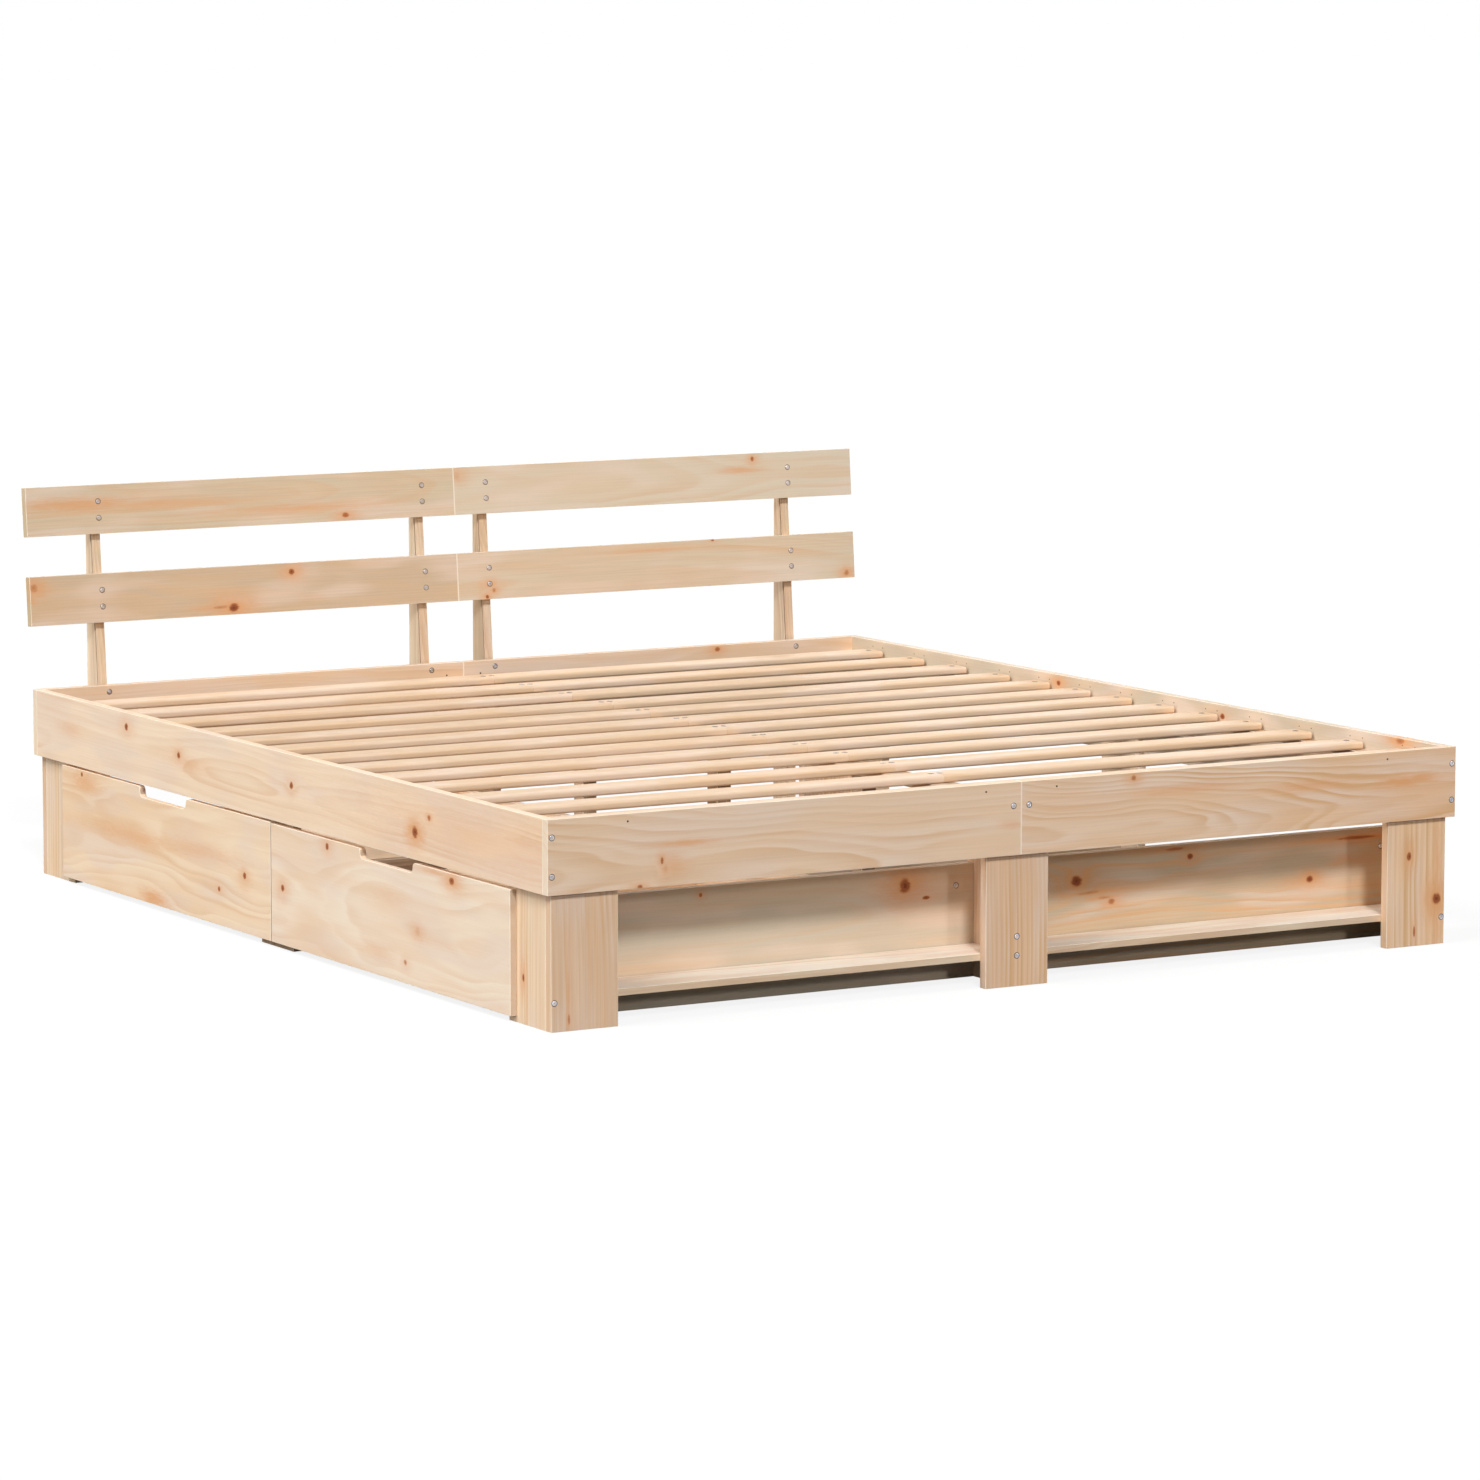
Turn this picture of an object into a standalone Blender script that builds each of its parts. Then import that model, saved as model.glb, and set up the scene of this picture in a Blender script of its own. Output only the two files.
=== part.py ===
"""A storage bed in solid pine for a mattress of 1.80 m by 2.00 m.

A box frame of upright boards stands on legs of two boards each. Thirteen pairs
of rounded slats lie on two side ledgers and a flat centre beam. Two wide drawers
roll in from the left on fixed castors, a shelf fills each bay of the foot end,
and four tapered posts carry a leaning headboard of two rows of boards.

Axes: +X right as seen from the foot, +Y towards the head, +Z up, in metres.
The origin is on the floor, under the middle of the bounding box.
"""

import math
from itertools import product

import bmesh
import bpy
from mathutils import Vector

# Whole bed
BED_WIDTH = 1.855
BED_LENGTH = 2.055
SEAT_GAP = 0.0003
EASED_EDGE = 0.001
FLOOR_Z = 0.0

# Box frame
RAIL_HEIGHT = 0.127
RAIL_THICKNESS = 0.018
RAIL_TOP_Z = 0.3575

# Drawer fronts, which lie on the outside of the legs
FRONT_THICKNESS = 0.012
FRONT_BOTTOM_Z = 0.011
FRONT_TO_RAIL_GAP = 0.0045
FRONT_TO_FRONT_GAP = 0.003
FRONT_END_MARGIN = 0.131

# Legs, each of two boards
LEG_BOARD_WIDTH = 0.127
LEG_BOARD_THICKNESS = 0.018

# Slats, and the beam of the same stock under their inner ends
SLAT_WIDTH = 0.060
SLAT_THICKNESS = 0.014
SLAT_EDGE_RADIUS = 0.0065
SLAT_ARC_STEPS = 3
SLAT_TOP_BELOW_RAIL = 0.018
SLAT_END_CLEARANCE = 0.0055
SLAT_END_ROW_INSET = 0.1185
SLAT_MIDDLE_PITCH_SHARE = 0.1581
SLAT_STEPS_MIDDLE = 3
SLAT_STEPS_ENDS = 3
BEAM_WIDTH = 0.058

# Ledgers and centre posts
LEDGER_WIDTH = 0.030
LEDGER_HEIGHT = 0.036
CENTRE_POST_WIDTH = 0.030
CENTRE_POST_DEPTH = 0.036
CENTRE_POST_END_INSET = 0.516

# Cross boards between the side legs and the middle centre post
CROSS_BOARD_HEIGHT = 0.127
CROSS_BOARD_THICKNESS = 0.018
CROSS_BOARD_BOTTOM_Z = 0.016

# Shelf and its back board in the foot bays
SHELF_THICKNESS = 0.012
SHELF_TOP_Z = 0.0593
SHELF_BACK_THICKNESS = 0.018
SHELF_BACK_BEFORE_LEG_EDGE = 0.0033
SHELF_BACK_BOTTOM_Z = 0.0
SHELF_BACK_HEIGHT = 0.200

# Headboard
POST_THICKNESS = 0.018
POST_FOOT_DEPTH = 0.0597
POST_LEAN_START_Z = 0.260
POST_TOP_BELOW_BOARD = 0.008
HEADBOARD_LEAN = math.radians(4.95)
HEADBOARD_BOARD_HEIGHT = 0.095
HEADBOARD_BOARD_THICKNESS = 0.018
HEADBOARD_UPPER_Z = 0.647
HEADBOARD_LOWER_Z = 0.4762
POST_INNER_PAIR_SPACING = 0.144
POST_BOARD_END_INSET = 0.1515

# Drawer boxes
BOX_WALL_THICKNESS = 0.018
BOX_WALL_HEIGHT = 0.095
BOX_WALL_BOTTOM_Z = 0.032
BOX_SIDE_CLEARANCE = 0.006
BOX_DEPTH = 0.835
BOX_PANEL_THICKNESS = 0.006
BOX_PANEL_FIT = 0.0003
BOX_GROOVE_DEPTH = 0.007
BOX_GROOVE_UP = 0.012

# Finger cut-out in the top edge of a drawer front
NOTCH_WIDTH = 0.1965
NOTCH_DEPTH = 0.020
NOTCH_LIP_RADIUS = 0.010
NOTCH_FLOOR_RADIUS = 0.010
NOTCH_ARC_STEPS = 5

# Fixed castors under a drawer
WHEEL_RADIUS = 0.016
WHEEL_WIDTH = 0.014
WHEEL_TREAD_ROUND = 0.003
WHEEL_HUB_RADIUS = 0.0065
WHEEL_HUB_PROUD = 0.001
WHEEL_BORE_CLEARANCE = 0.0003
WHEEL_SEGMENTS = 28
TREAD_ARC_STEPS = 3
AXLE_RADIUS = 0.002
AXLE_SEGMENTS = 12
FORK_PLATE_LENGTH = 0.042
FORK_PLATE_SIDE_LIP = 0.008
FORK_METAL = 0.002
FORK_SIDE_CLEARANCE = 0.0005
FORK_CHEEK_LENGTH = 0.028
FORK_CHEEK_EYE_RADIUS = 0.006
FORK_ARC_STEPS = 6
CASTOR_INSET_X = 0.070
CASTOR_INSET_Y = 0.060
FLOOR_RUNNING_GAP = 0.0003
JOIN_OVERLAP = 0.0005

# Levels and places that follow from the sizes above
POST_REACH = SEAT_GAP + POST_FOOT_DEPTH
FOOT_Y = -(BED_LENGTH + POST_REACH) / 2
HEAD_Y = FOOT_Y + BED_LENGTH
MIDDLE_Y = (FOOT_Y + HEAD_Y) / 2
RAIL_BOTTOM_Z = RAIL_TOP_Z - RAIL_HEIGHT
RAIL_BACK = RAIL_THICKNESS + SEAT_GAP
LEG_INSET = FRONT_THICKNESS + SEAT_GAP
LEG_BACK = LEG_INSET + LEG_BOARD_THICKNESS
SHOULDER_Z = RAIL_BOTTOM_Z - SEAT_GAP
SLAT_TOP_Z = RAIL_TOP_Z - SLAT_TOP_BELOW_RAIL
SLAT_BOTTOM_Z = SLAT_TOP_Z - SLAT_THICKNESS
LEDGER_TOP_Z = SLAT_BOTTOM_Z - SEAT_GAP
LEDGER_BOTTOM_Z = LEDGER_TOP_Z - LEDGER_HEIGHT
SIDE_LEG_TOP_Z = LEDGER_BOTTOM_Z - SEAT_GAP
BEAM_BOTTOM_Z = LEDGER_TOP_Z - SLAT_THICKNESS
CENTRE_LEG_TOP_Z = BEAM_BOTTOM_Z - SEAT_GAP
LEG_REACH = LEG_BACK + LEG_BOARD_WIDTH
SHELF_BACK_REAR = LEG_REACH - SHELF_BACK_BEFORE_LEG_EDGE
SHELF_BACK_FRONT = SHELF_BACK_REAR - SHELF_BACK_THICKNESS

LEFT = -1
RIGHT = 1
FOOT = -1
HEAD = 1
SIDES = ((LEFT, "left"), (RIGHT, "right"))
ENDS = ((FOOT, "foot"), (HEAD, "head"))


def side_x(side, inward):
    """X at a distance inward from the outer face of the left or right rail."""
    return side * (BED_WIDTH / 2 - inward)


def end_y(end, inward):
    """Y at a distance inward from the outer face of the foot or head rail."""
    return MIDDLE_Y + end * (BED_LENGTH / 2 - inward)


def clear_scene():
    for old in list(bpy.data.objects):
        bpy.data.objects.remove(old, do_unlink=True)


def finish_material(name, colour, roughness, metallic):
    material = bpy.data.materials.new(name)
    material.use_nodes = True
    shader = material.node_tree.nodes["Principled BSDF"]
    shader.inputs["Base Color"].default_value = (*colour, 1)
    shader.inputs["Roughness"].default_value = roughness
    shader.inputs["Metallic"].default_value = metallic
    return material


def make_node(name, solid, material=None, smooth=False, origin=(0, 0, 0), parent=None):
    """Turn a solid into a named object whose origin lies at the given place."""
    mesh = bpy.data.meshes.new(name)
    bmesh.ops.translate(solid, vec=-Vector(origin), verts=solid.verts)
    solid.to_mesh(mesh)
    solid.free()
    if material:
        mesh.materials.append(material)
    if smooth:
        mesh.shade_smooth()
        mesh.set_sharp_from_angle(angle=math.radians(35))
    node = bpy.data.objects.new(name, mesh)
    node.location = origin
    bpy.context.scene.collection.objects.link(node)
    if parent:
        node.parent = parent
        node.location = Vector(origin) - parent.location
    return node


def ease_edges(solid, kept_sharp=()):
    """Chamfer every convex edge that doesn't lie in one of the boxes kept sharp."""
    corner_angle = math.radians(30)
    sharp = []
    for edge in solid.edges:
        middle = (edge.verts[0].co + edge.verts[1].co) / 2
        if edge.calc_face_angle_signed() > corner_angle and not any(
                inside(box, middle, SEAT_GAP / 2) for box in kept_sharp):
            sharp.append(edge)
    bmesh.ops.bevel(solid, geom=sharp, offset=EASED_EDGE, offset_type="OFFSET", segments=1,
                    affect="EDGES", clamp_overlap=True)
    return solid


def inside(box, point, margin=0.0):
    """Whether a point lies in a box of three spans, or within a margin of it."""
    return all(min(span) - margin < place < max(span) + margin for span, place in zip(box, point))


def fused_blocks(boxes, cuts=()):
    """One solid of boxes that meet face to face, less the boxes cut out of them.

    A box is three spans. Every face of every box is a plane of a lattice, and the
    solid's faces are the lattice's squares between a filled cell and an empty one.
    """
    places = [without_near(sorted(place for box in (*boxes, *cuts) for place in box[axis]))
              for axis in range(3)]

    def filled(cell):
        if any(not 0 <= index < len(row) - 1 for index, row in zip(cell, places)):
            return False
        middle = [(row[index] + row[index + 1]) / 2 for index, row in zip(cell, places)]
        return (any(inside(box, middle) for box in boxes)
                and not any(inside(box, middle) for box in cuts))

    solid = bmesh.new()
    corners = {}
    for cell in product(*(range(len(row) - 1) for row in places)):
        if not filled(cell):
            continue
        for axis in range(3):
            for toward in (0, 1):
                beside = list(cell)
                beside[axis] += 1 if toward else -1
                if filled(beside):
                    continue
                around = []
                for step in ((0, 0), (1, 0), (1, 1), (0, 1)):
                    key = list(cell)
                    for other, amount in zip([index for index in range(3) if index != axis], step):
                        key[other] += amount
                    key[axis] += toward
                    key = tuple(key)
                    if key not in corners:
                        place = [row[index] for index, row in zip(key, places)]
                        corners[key] = solid.verts.new(place)
                    around.append(corners[key])
                solid.faces.new(around)
    bmesh.ops.recalc_face_normals(solid, faces=solid.faces)
    flat = math.radians(1)
    bmesh.ops.dissolve_limit(solid, angle_limit=flat, verts=solid.verts[:], edges=solid.edges[:])
    return ease_edges(solid, cuts)


def without_near(places):
    """Sorted places with those that fall on the one before them left out."""
    kept = []
    for place in places:
        if not kept or place - kept[-1] > SEAT_GAP / 2:
            kept.append(place)
    return kept


def block(x_span, y_span, z_span):
    """A board with square ends between three pairs of faces."""
    return fused_blocks([(x_span, y_span, z_span)])


def prism(outline, axis, span):
    """An outline drawn square to an axis and extruded between two places on it.

    The outline's pairs are (y, z) for axis 0, (x, z) for axis 1 and (x, y) for axis 2.
    """
    rings = []
    for along in span:
        ring = []
        for first, second in outline:
            place = [first, second]
            place.insert(axis, along)
            ring.append(place)
        rings.append(ring)
    return lofted(rings)


def lofted(rings):
    """A solid through rings of as many points each, closed at both ends."""
    solid = bmesh.new()
    loops = [[solid.verts.new(place) for place in ring] for ring in rings]
    for near, far in zip(loops, loops[1:]):
        for index in range(len(near)):
            solid.faces.new((near[index - 1], near[index], far[index], far[index - 1]))
    solid.faces.new(loops[0])
    solid.faces.new(loops[-1])
    bmesh.ops.recalc_face_normals(solid, faces=solid.faces)
    return solid


def arc(centre, radius, start_degrees, end_degrees, steps):
    """Points of an arc in a plane, both ends included."""
    points = []
    for step in range(steps + 1):
        angle = math.radians(start_degrees + (end_degrees - start_degrees) * step / steps)
        points.append((centre[0] + radius * math.cos(angle), centre[1] + radius * math.sin(angle)))
    return points


def rounded_section(first_span, second_span, radius):
    """The cross-section of a board with rounded long edges."""
    low_a, high_a = sorted(first_span)
    low_b, high_b = sorted(second_span)
    outline = arc((high_a - radius, high_b - radius), radius, 0, 90, SLAT_ARC_STEPS)
    outline += arc((low_a + radius, high_b - radius), radius, 90, 180, SLAT_ARC_STEPS)
    outline += arc((low_a + radius, low_b + radius), radius, 180, 270, SLAT_ARC_STEPS)
    outline += arc((high_a - radius, low_b + radius), radius, 270, 360, SLAT_ARC_STEPS)
    return outline


def turned(profile, segments):
    """A closed profile of (radius, y) pairs turned about the Y axis."""
    solid = bmesh.new()
    ring = [solid.verts.new((radius, y, 0)) for radius, y in profile]
    edges = [solid.edges.new((ring[index - 1], ring[index])) for index in range(len(ring))]
    bmesh.ops.spin(solid, geom=ring + edges, cent=(0, 0, 0), axis=(0, 1, 0),
                   angle=math.radians(360), steps=segments, use_merge=True)
    bmesh.ops.recalc_face_normals(solid, faces=solid.faces)
    return solid


def joined(base, additions):
    """The union of a solid and the solids that overlap it a little."""
    whole = make_node("joined", base)
    guides = []
    for addition in additions:
        guide = make_node("addition", addition)
        step = whole.modifiers.new(guide.name, "BOOLEAN")
        step.operation = "UNION"
        step.solver = "EXACT"
        step.object = guide
        guides.append(guide)
    graph = bpy.context.evaluated_depsgraph_get()
    solid = bmesh.new()
    solid.from_object(whole, graph)
    for used in (*guides, whole):
        bpy.data.objects.remove(used, do_unlink=True)
    return solid


def half_span(side, outer_inward):
    """From just beside the middle joint to a distance inside the outer face."""
    return (side * SEAT_GAP / 2, side_x(side, outer_inward))


def build_box_frame(pine):
    """Foot and head rails in two halves each, which cap the ends of the side rails."""
    height = (RAIL_BOTTOM_Z, RAIL_TOP_Z)
    for side, side_name in SIDES:
        for end, end_name in ENDS:
            rail = block(half_span(side, 0), (end_y(end, 0), end_y(end, RAIL_THICKNESS)), height)
            make_node(f"{end_name}_rail_{side_name}", rail, pine)
        rail = block((side_x(side, 0), side_x(side, RAIL_THICKNESS)),
                     (end_y(FOOT, RAIL_BACK), end_y(HEAD, RAIL_BACK)), height)
        make_node(f"side_rail_{side_name}", rail, pine)


def corner_leg(side, end):
    """An end board and a side board in an L, cut back where the rails rest on them."""
    full = (FLOOR_Z, SHOULDER_Z)
    cut_back = (SHOULDER_Z, SIDE_LEG_TOP_Z)
    end_board_inner = side_x(side, LEG_INSET + LEG_BOARD_WIDTH)
    side_board_y = (end_y(end, LEG_BACK), end_y(end, LEG_REACH))
    return fused_blocks([
        ((side_x(side, LEG_INSET), end_board_inner), (end_y(end, LEG_INSET), end_y(end, LEG_BACK)), full),
        ((side_x(side, RAIL_BACK), end_board_inner), (end_y(end, RAIL_BACK), end_y(end, LEG_BACK)), cut_back),
        ((side_x(side, LEG_INSET), side_x(side, LEG_BACK)), side_board_y, full),
        ((side_x(side, RAIL_BACK), side_x(side, LEG_BACK)), side_board_y, cut_back),
    ])


def centre_leg(end):
    """A board across the joint of the end rail, with a web square behind it."""
    x_span = (-LEG_BOARD_WIDTH / 2, LEG_BOARD_WIDTH / 2)
    web_span = (-LEG_BOARD_THICKNESS / 2, LEG_BOARD_THICKNESS / 2)
    return fused_blocks([
        (x_span, (end_y(end, LEG_INSET), end_y(end, LEG_BACK)), (FLOOR_Z, SHOULDER_Z)),
        (x_span, (end_y(end, RAIL_BACK), end_y(end, LEG_BACK)), (SHOULDER_Z, CENTRE_LEG_TOP_Z)),
        (web_span, (end_y(end, LEG_BACK), end_y(end, LEG_REACH)), (FLOOR_Z, CENTRE_LEG_TOP_Z)),
    ])


def middle_leg(side):
    """A single board halfway along a side, between the two drawers on the left."""
    y_span = (MIDDLE_Y - LEG_BOARD_WIDTH / 2, MIDDLE_Y + LEG_BOARD_WIDTH / 2)
    return fused_blocks([
        ((side_x(side, LEG_INSET), side_x(side, LEG_BACK)), y_span, (FLOOR_Z, SHOULDER_Z)),
        ((side_x(side, RAIL_BACK), side_x(side, LEG_BACK)), y_span, (SHOULDER_Z, SIDE_LEG_TOP_Z)),
    ])


def build_legs(pine):
    for end, end_name in ENDS:
        for side, side_name in SIDES:
            make_node(f"leg_{end_name}_{side_name}", corner_leg(side, end), pine)
        make_node(f"leg_{end_name}_centre", centre_leg(end), pine)
    for side, side_name in SIDES:
        make_node(f"leg_middle_{side_name}", middle_leg(side), pine)


def build_supports(pine):
    """Ledgers, the beam on its centre posts, and cross boards, under the slats."""
    long_span = (end_y(FOOT, RAIL_BACK), end_y(HEAD, RAIL_BACK))
    for side, side_name in SIDES:
        ledger = block((side_x(side, RAIL_BACK), side_x(side, RAIL_BACK + LEDGER_WIDTH)),
                       long_span, (LEDGER_BOTTOM_Z, LEDGER_TOP_Z))
        make_node(f"slat_ledger_{side_name}", ledger, pine)

    section = rounded_section((-BEAM_WIDTH / 2, BEAM_WIDTH / 2), (BEAM_BOTTOM_Z, LEDGER_TOP_Z),
                              SLAT_EDGE_RADIUS)
    posts = []
    for middle in (end_y(FOOT, CENTRE_POST_END_INSET), MIDDLE_Y, end_y(HEAD, CENTRE_POST_END_INSET)):
        posts.append(block((-CENTRE_POST_WIDTH / 2, CENTRE_POST_WIDTH / 2),
                           (middle - CENTRE_POST_DEPTH / 2, middle + CENTRE_POST_DEPTH / 2),
                           (FLOOR_Z, BEAM_BOTTOM_Z + EASED_EDGE + JOIN_OVERLAP)))
    make_node("centre_support", joined(prism(section, 1, long_span), posts), pine)

    y_span = (MIDDLE_Y - CROSS_BOARD_THICKNESS / 2, MIDDLE_Y + CROSS_BOARD_THICKNESS / 2)
    z_span = (CROSS_BOARD_BOTTOM_Z, CROSS_BOARD_BOTTOM_Z + CROSS_BOARD_HEIGHT)
    for side, side_name in SIDES:
        x_span = (side * (CENTRE_POST_WIDTH / 2 + SEAT_GAP), side_x(side, LEG_BACK + SEAT_GAP))
        make_node(f"cross_board_{side_name}", block(x_span, y_span, z_span), pine)


def slat_places():
    """Distances of the slat rows from the middle of the bed, foot to head.

    The rows in the middle, which carry the hips, lie a little closer together.
    """
    run = BED_LENGTH / 2 - SLAT_END_ROW_INSET
    middle_pitch = run * SLAT_MIDDLE_PITCH_SHARE
    reached = SLAT_STEPS_MIDDLE * middle_pitch
    end_pitch = (run - reached) / SLAT_STEPS_ENDS
    outward = [step * middle_pitch for step in range(1, SLAT_STEPS_MIDDLE + 1)]
    outward += [reached + step * end_pitch for step in range(1, SLAT_STEPS_ENDS + 1)]
    return [-place for place in reversed(outward)] + [0] + outward


def slat_row(middle_y):
    """Two rounded half slats end to end, with a small V where they meet at the middle."""
    end_x = side_x(RIGHT, RAIL_THICKNESS + SLAT_END_CLEARANCE)
    rings = []
    for x, shrink in ((-end_x, EASED_EDGE), (EASED_EDGE - end_x, 0), (-EASED_EDGE, 0), (0, EASED_EDGE),
                      (EASED_EDGE, 0), (end_x - EASED_EDGE, 0), (end_x, EASED_EDGE)):
        half = SLAT_WIDTH / 2 - shrink
        outline = rounded_section((middle_y - half, middle_y + half),
                                  (SLAT_BOTTOM_Z + shrink, SLAT_TOP_Z - shrink),
                                  SLAT_EDGE_RADIUS - shrink / 2)
        rings.append([(x, y, z) for y, z in outline])
    return lofted(rings)


def build_slats(pine):
    for index, place in enumerate(slat_places()):
        make_node(f"slat_row_{index + 1:02d}", slat_row(MIDDLE_Y + place), pine)


def build_shelf(pine):
    """A shelf and an upright back board between the legs of each foot bay."""
    back_y = (end_y(FOOT, SHELF_BACK_FRONT), end_y(FOOT, SHELF_BACK_REAR))
    shelf_y = (end_y(FOOT, LEG_BACK + SEAT_GAP), end_y(FOOT, SHELF_BACK_FRONT - SEAT_GAP))
    for side, side_name in SIDES:
        x_span = (side * (LEG_BOARD_THICKNESS / 2 + SEAT_GAP), side_x(side, LEG_BACK + SEAT_GAP))
        shelf = block(x_span, shelf_y, (SHELF_TOP_Z - SHELF_THICKNESS, SHELF_TOP_Z))
        make_node(f"foot_shelf_{side_name}", shelf, pine)
        back = block(x_span, back_y, (SHELF_BACK_BOTTOM_Z, SHELF_BACK_BOTTOM_Z + SHELF_BACK_HEIGHT))
        make_node(f"foot_shelf_back_{side_name}", back, pine)


def post_front_y(height):
    """Y of the leaning front edge of a headboard post at a height."""
    return HEAD_Y + SEAT_GAP + max(0, height - POST_LEAN_START_Z) * math.tan(HEADBOARD_LEAN)


def headboard_section(low_z):
    """A board's end outline, flat on the leaning front edges of the posts."""
    along = Vector((math.sin(HEADBOARD_LEAN), math.cos(HEADBOARD_LEAN)))
    outward = Vector((-math.cos(HEADBOARD_LEAN), math.sin(HEADBOARD_LEAN)))
    back_low = Vector((post_front_y(low_z), low_z)) + outward * SEAT_GAP
    back_high = back_low + along * HEADBOARD_BOARD_HEIGHT
    front_high = back_high + outward * HEADBOARD_BOARD_THICKNESS
    front_low = back_low + outward * HEADBOARD_BOARD_THICKNESS
    return [tuple(point) for point in (back_low, back_high, front_high, front_low)]


def build_headboard(pine):
    rise = HEADBOARD_BOARD_HEIGHT * math.cos(HEADBOARD_LEAN)
    post_top = HEADBOARD_UPPER_Z + rise - POST_TOP_BELOW_BOARD
    front_foot_y = HEAD_Y + SEAT_GAP
    back_y = HEAD_Y + POST_REACH
    outline = [(front_foot_y, FLOOR_Z), (back_y, FLOOR_Z), (back_y, post_top),
               (post_front_y(post_top), post_top), (front_foot_y, POST_LEAN_START_Z)]
    middles = (side_x(LEFT, POST_BOARD_END_INSET), -POST_INNER_PAIR_SPACING / 2,
               POST_INNER_PAIR_SPACING / 2, side_x(RIGHT, POST_BOARD_END_INSET))
    for index, middle in enumerate(middles):
        span = (middle - POST_THICKNESS / 2, middle + POST_THICKNESS / 2)
        make_node(f"headboard_post_{index + 1}", ease_edges(prism(outline, 0, span)), pine)
    for low_z, row_name in ((HEADBOARD_UPPER_Z, "upper"), (HEADBOARD_LOWER_Z, "lower")):
        for side, side_name in SIDES:
            board = ease_edges(prism(headboard_section(low_z), 0, half_span(side, 0)))
            make_node(f"headboard_{row_name}_{side_name}", board, pine)


def drawer_front_outline(low_y, high_y):
    """A front with a round-cornered finger cut-out in the middle of its top edge."""
    top_z = RAIL_BOTTOM_Z - FRONT_TO_RAIL_GAP
    floor_radius = min(NOTCH_FLOOR_RADIUS, NOTCH_DEPTH / 2)
    lip_radius = min(NOTCH_LIP_RADIUS, NOTCH_DEPTH - floor_radius)
    notch_z = top_z - NOTCH_DEPTH
    middle = (low_y + high_y) / 2
    notch_low = middle - NOTCH_WIDTH / 2
    notch_high = middle + NOTCH_WIDTH / 2
    outline = [(low_y, FRONT_BOTTOM_Z), (high_y, FRONT_BOTTOM_Z), (high_y, top_z)]
    outline += arc((notch_high + lip_radius, top_z - lip_radius), lip_radius, 90, 180, NOTCH_ARC_STEPS)
    outline += arc((notch_high - floor_radius, notch_z + floor_radius), floor_radius, 0, -90,
                   NOTCH_ARC_STEPS)
    outline += arc((notch_low + floor_radius, notch_z + floor_radius), floor_radius, -90, -180,
                   NOTCH_ARC_STEPS)
    outline += arc((notch_low - lip_radius, top_z - lip_radius), lip_radius, 0, 90, NOTCH_ARC_STEPS)
    outline.append((low_y, top_z))
    return [point for index, point in enumerate(outline)
            if (Vector(point) - Vector(outline[index - 1])).length > SEAT_GAP / 2]


def wheel(centre):
    """A plastic wheel with a rounded tread and a hub proud of both faces."""
    half = WHEEL_WIDTH / 2
    flank = half - WHEEL_TREAD_ROUND
    crown = WHEEL_RADIUS - WHEEL_TREAD_ROUND
    hub = half + WHEEL_HUB_PROUD
    bore = AXLE_RADIUS + WHEEL_BORE_CLEARANCE
    profile = [(bore, -hub), (WHEEL_HUB_RADIUS, -hub), (WHEEL_HUB_RADIUS, -half)]
    profile += arc((crown, -flank), WHEEL_TREAD_ROUND, -90, 0, TREAD_ARC_STEPS)
    profile += arc((crown, flank), WHEEL_TREAD_ROUND, 0, 90, TREAD_ARC_STEPS)
    profile += [(WHEEL_HUB_RADIUS, half), (WHEEL_HUB_RADIUS, hub), (bore, hub)]
    solid = turned(profile, WHEEL_SEGMENTS)
    bmesh.ops.translate(solid, vec=Vector(centre), verts=solid.verts)
    return solid


def fork_solids(centre, plate_top_z):
    """A castor's screw plate, two cheeks that taper to round eyes, and the axle."""
    axle_x, axle_y, axle_z = centre
    inner = WHEEL_WIDTH / 2 + WHEEL_HUB_PROUD + FORK_SIDE_CLEARANCE
    outer = inner + FORK_METAL
    half_plate = FORK_PLATE_LENGTH / 2
    half_cheek = FORK_CHEEK_LENGTH / 2
    lip = outer + FORK_PLATE_SIDE_LIP
    plate_low_z = plate_top_z - FORK_METAL
    cheek_top_z = plate_low_z + JOIN_OVERLAP
    plate_section = [(axle_y - lip, plate_low_z), (axle_y + lip, plate_low_z),
                     (axle_y + lip, plate_top_z + JOIN_OVERLAP), (axle_y - lip, plate_top_z + JOIN_OVERLAP)]
    cheek = [(axle_x + half_cheek, cheek_top_z), (axle_x - half_cheek, cheek_top_z)]
    cheek += arc((axle_x, axle_z), FORK_CHEEK_EYE_RADIUS, 180, 360, FORK_ARC_STEPS)
    rod = arc((axle_x, axle_z), AXLE_RADIUS, 0, 360, AXLE_SEGMENTS)[:-1]
    rod_reach = inner + FORK_METAL / 2
    return [
        prism(plate_section, 0, (axle_x - half_plate, axle_x + half_plate)),
        prism(cheek, 1, (axle_y - outer, axle_y - inner)),
        prism(cheek, 1, (axle_y + inner, axle_y + outer)),
        prism(rod, 1, (axle_y - rod_reach, axle_y + rod_reach)),
    ]


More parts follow.
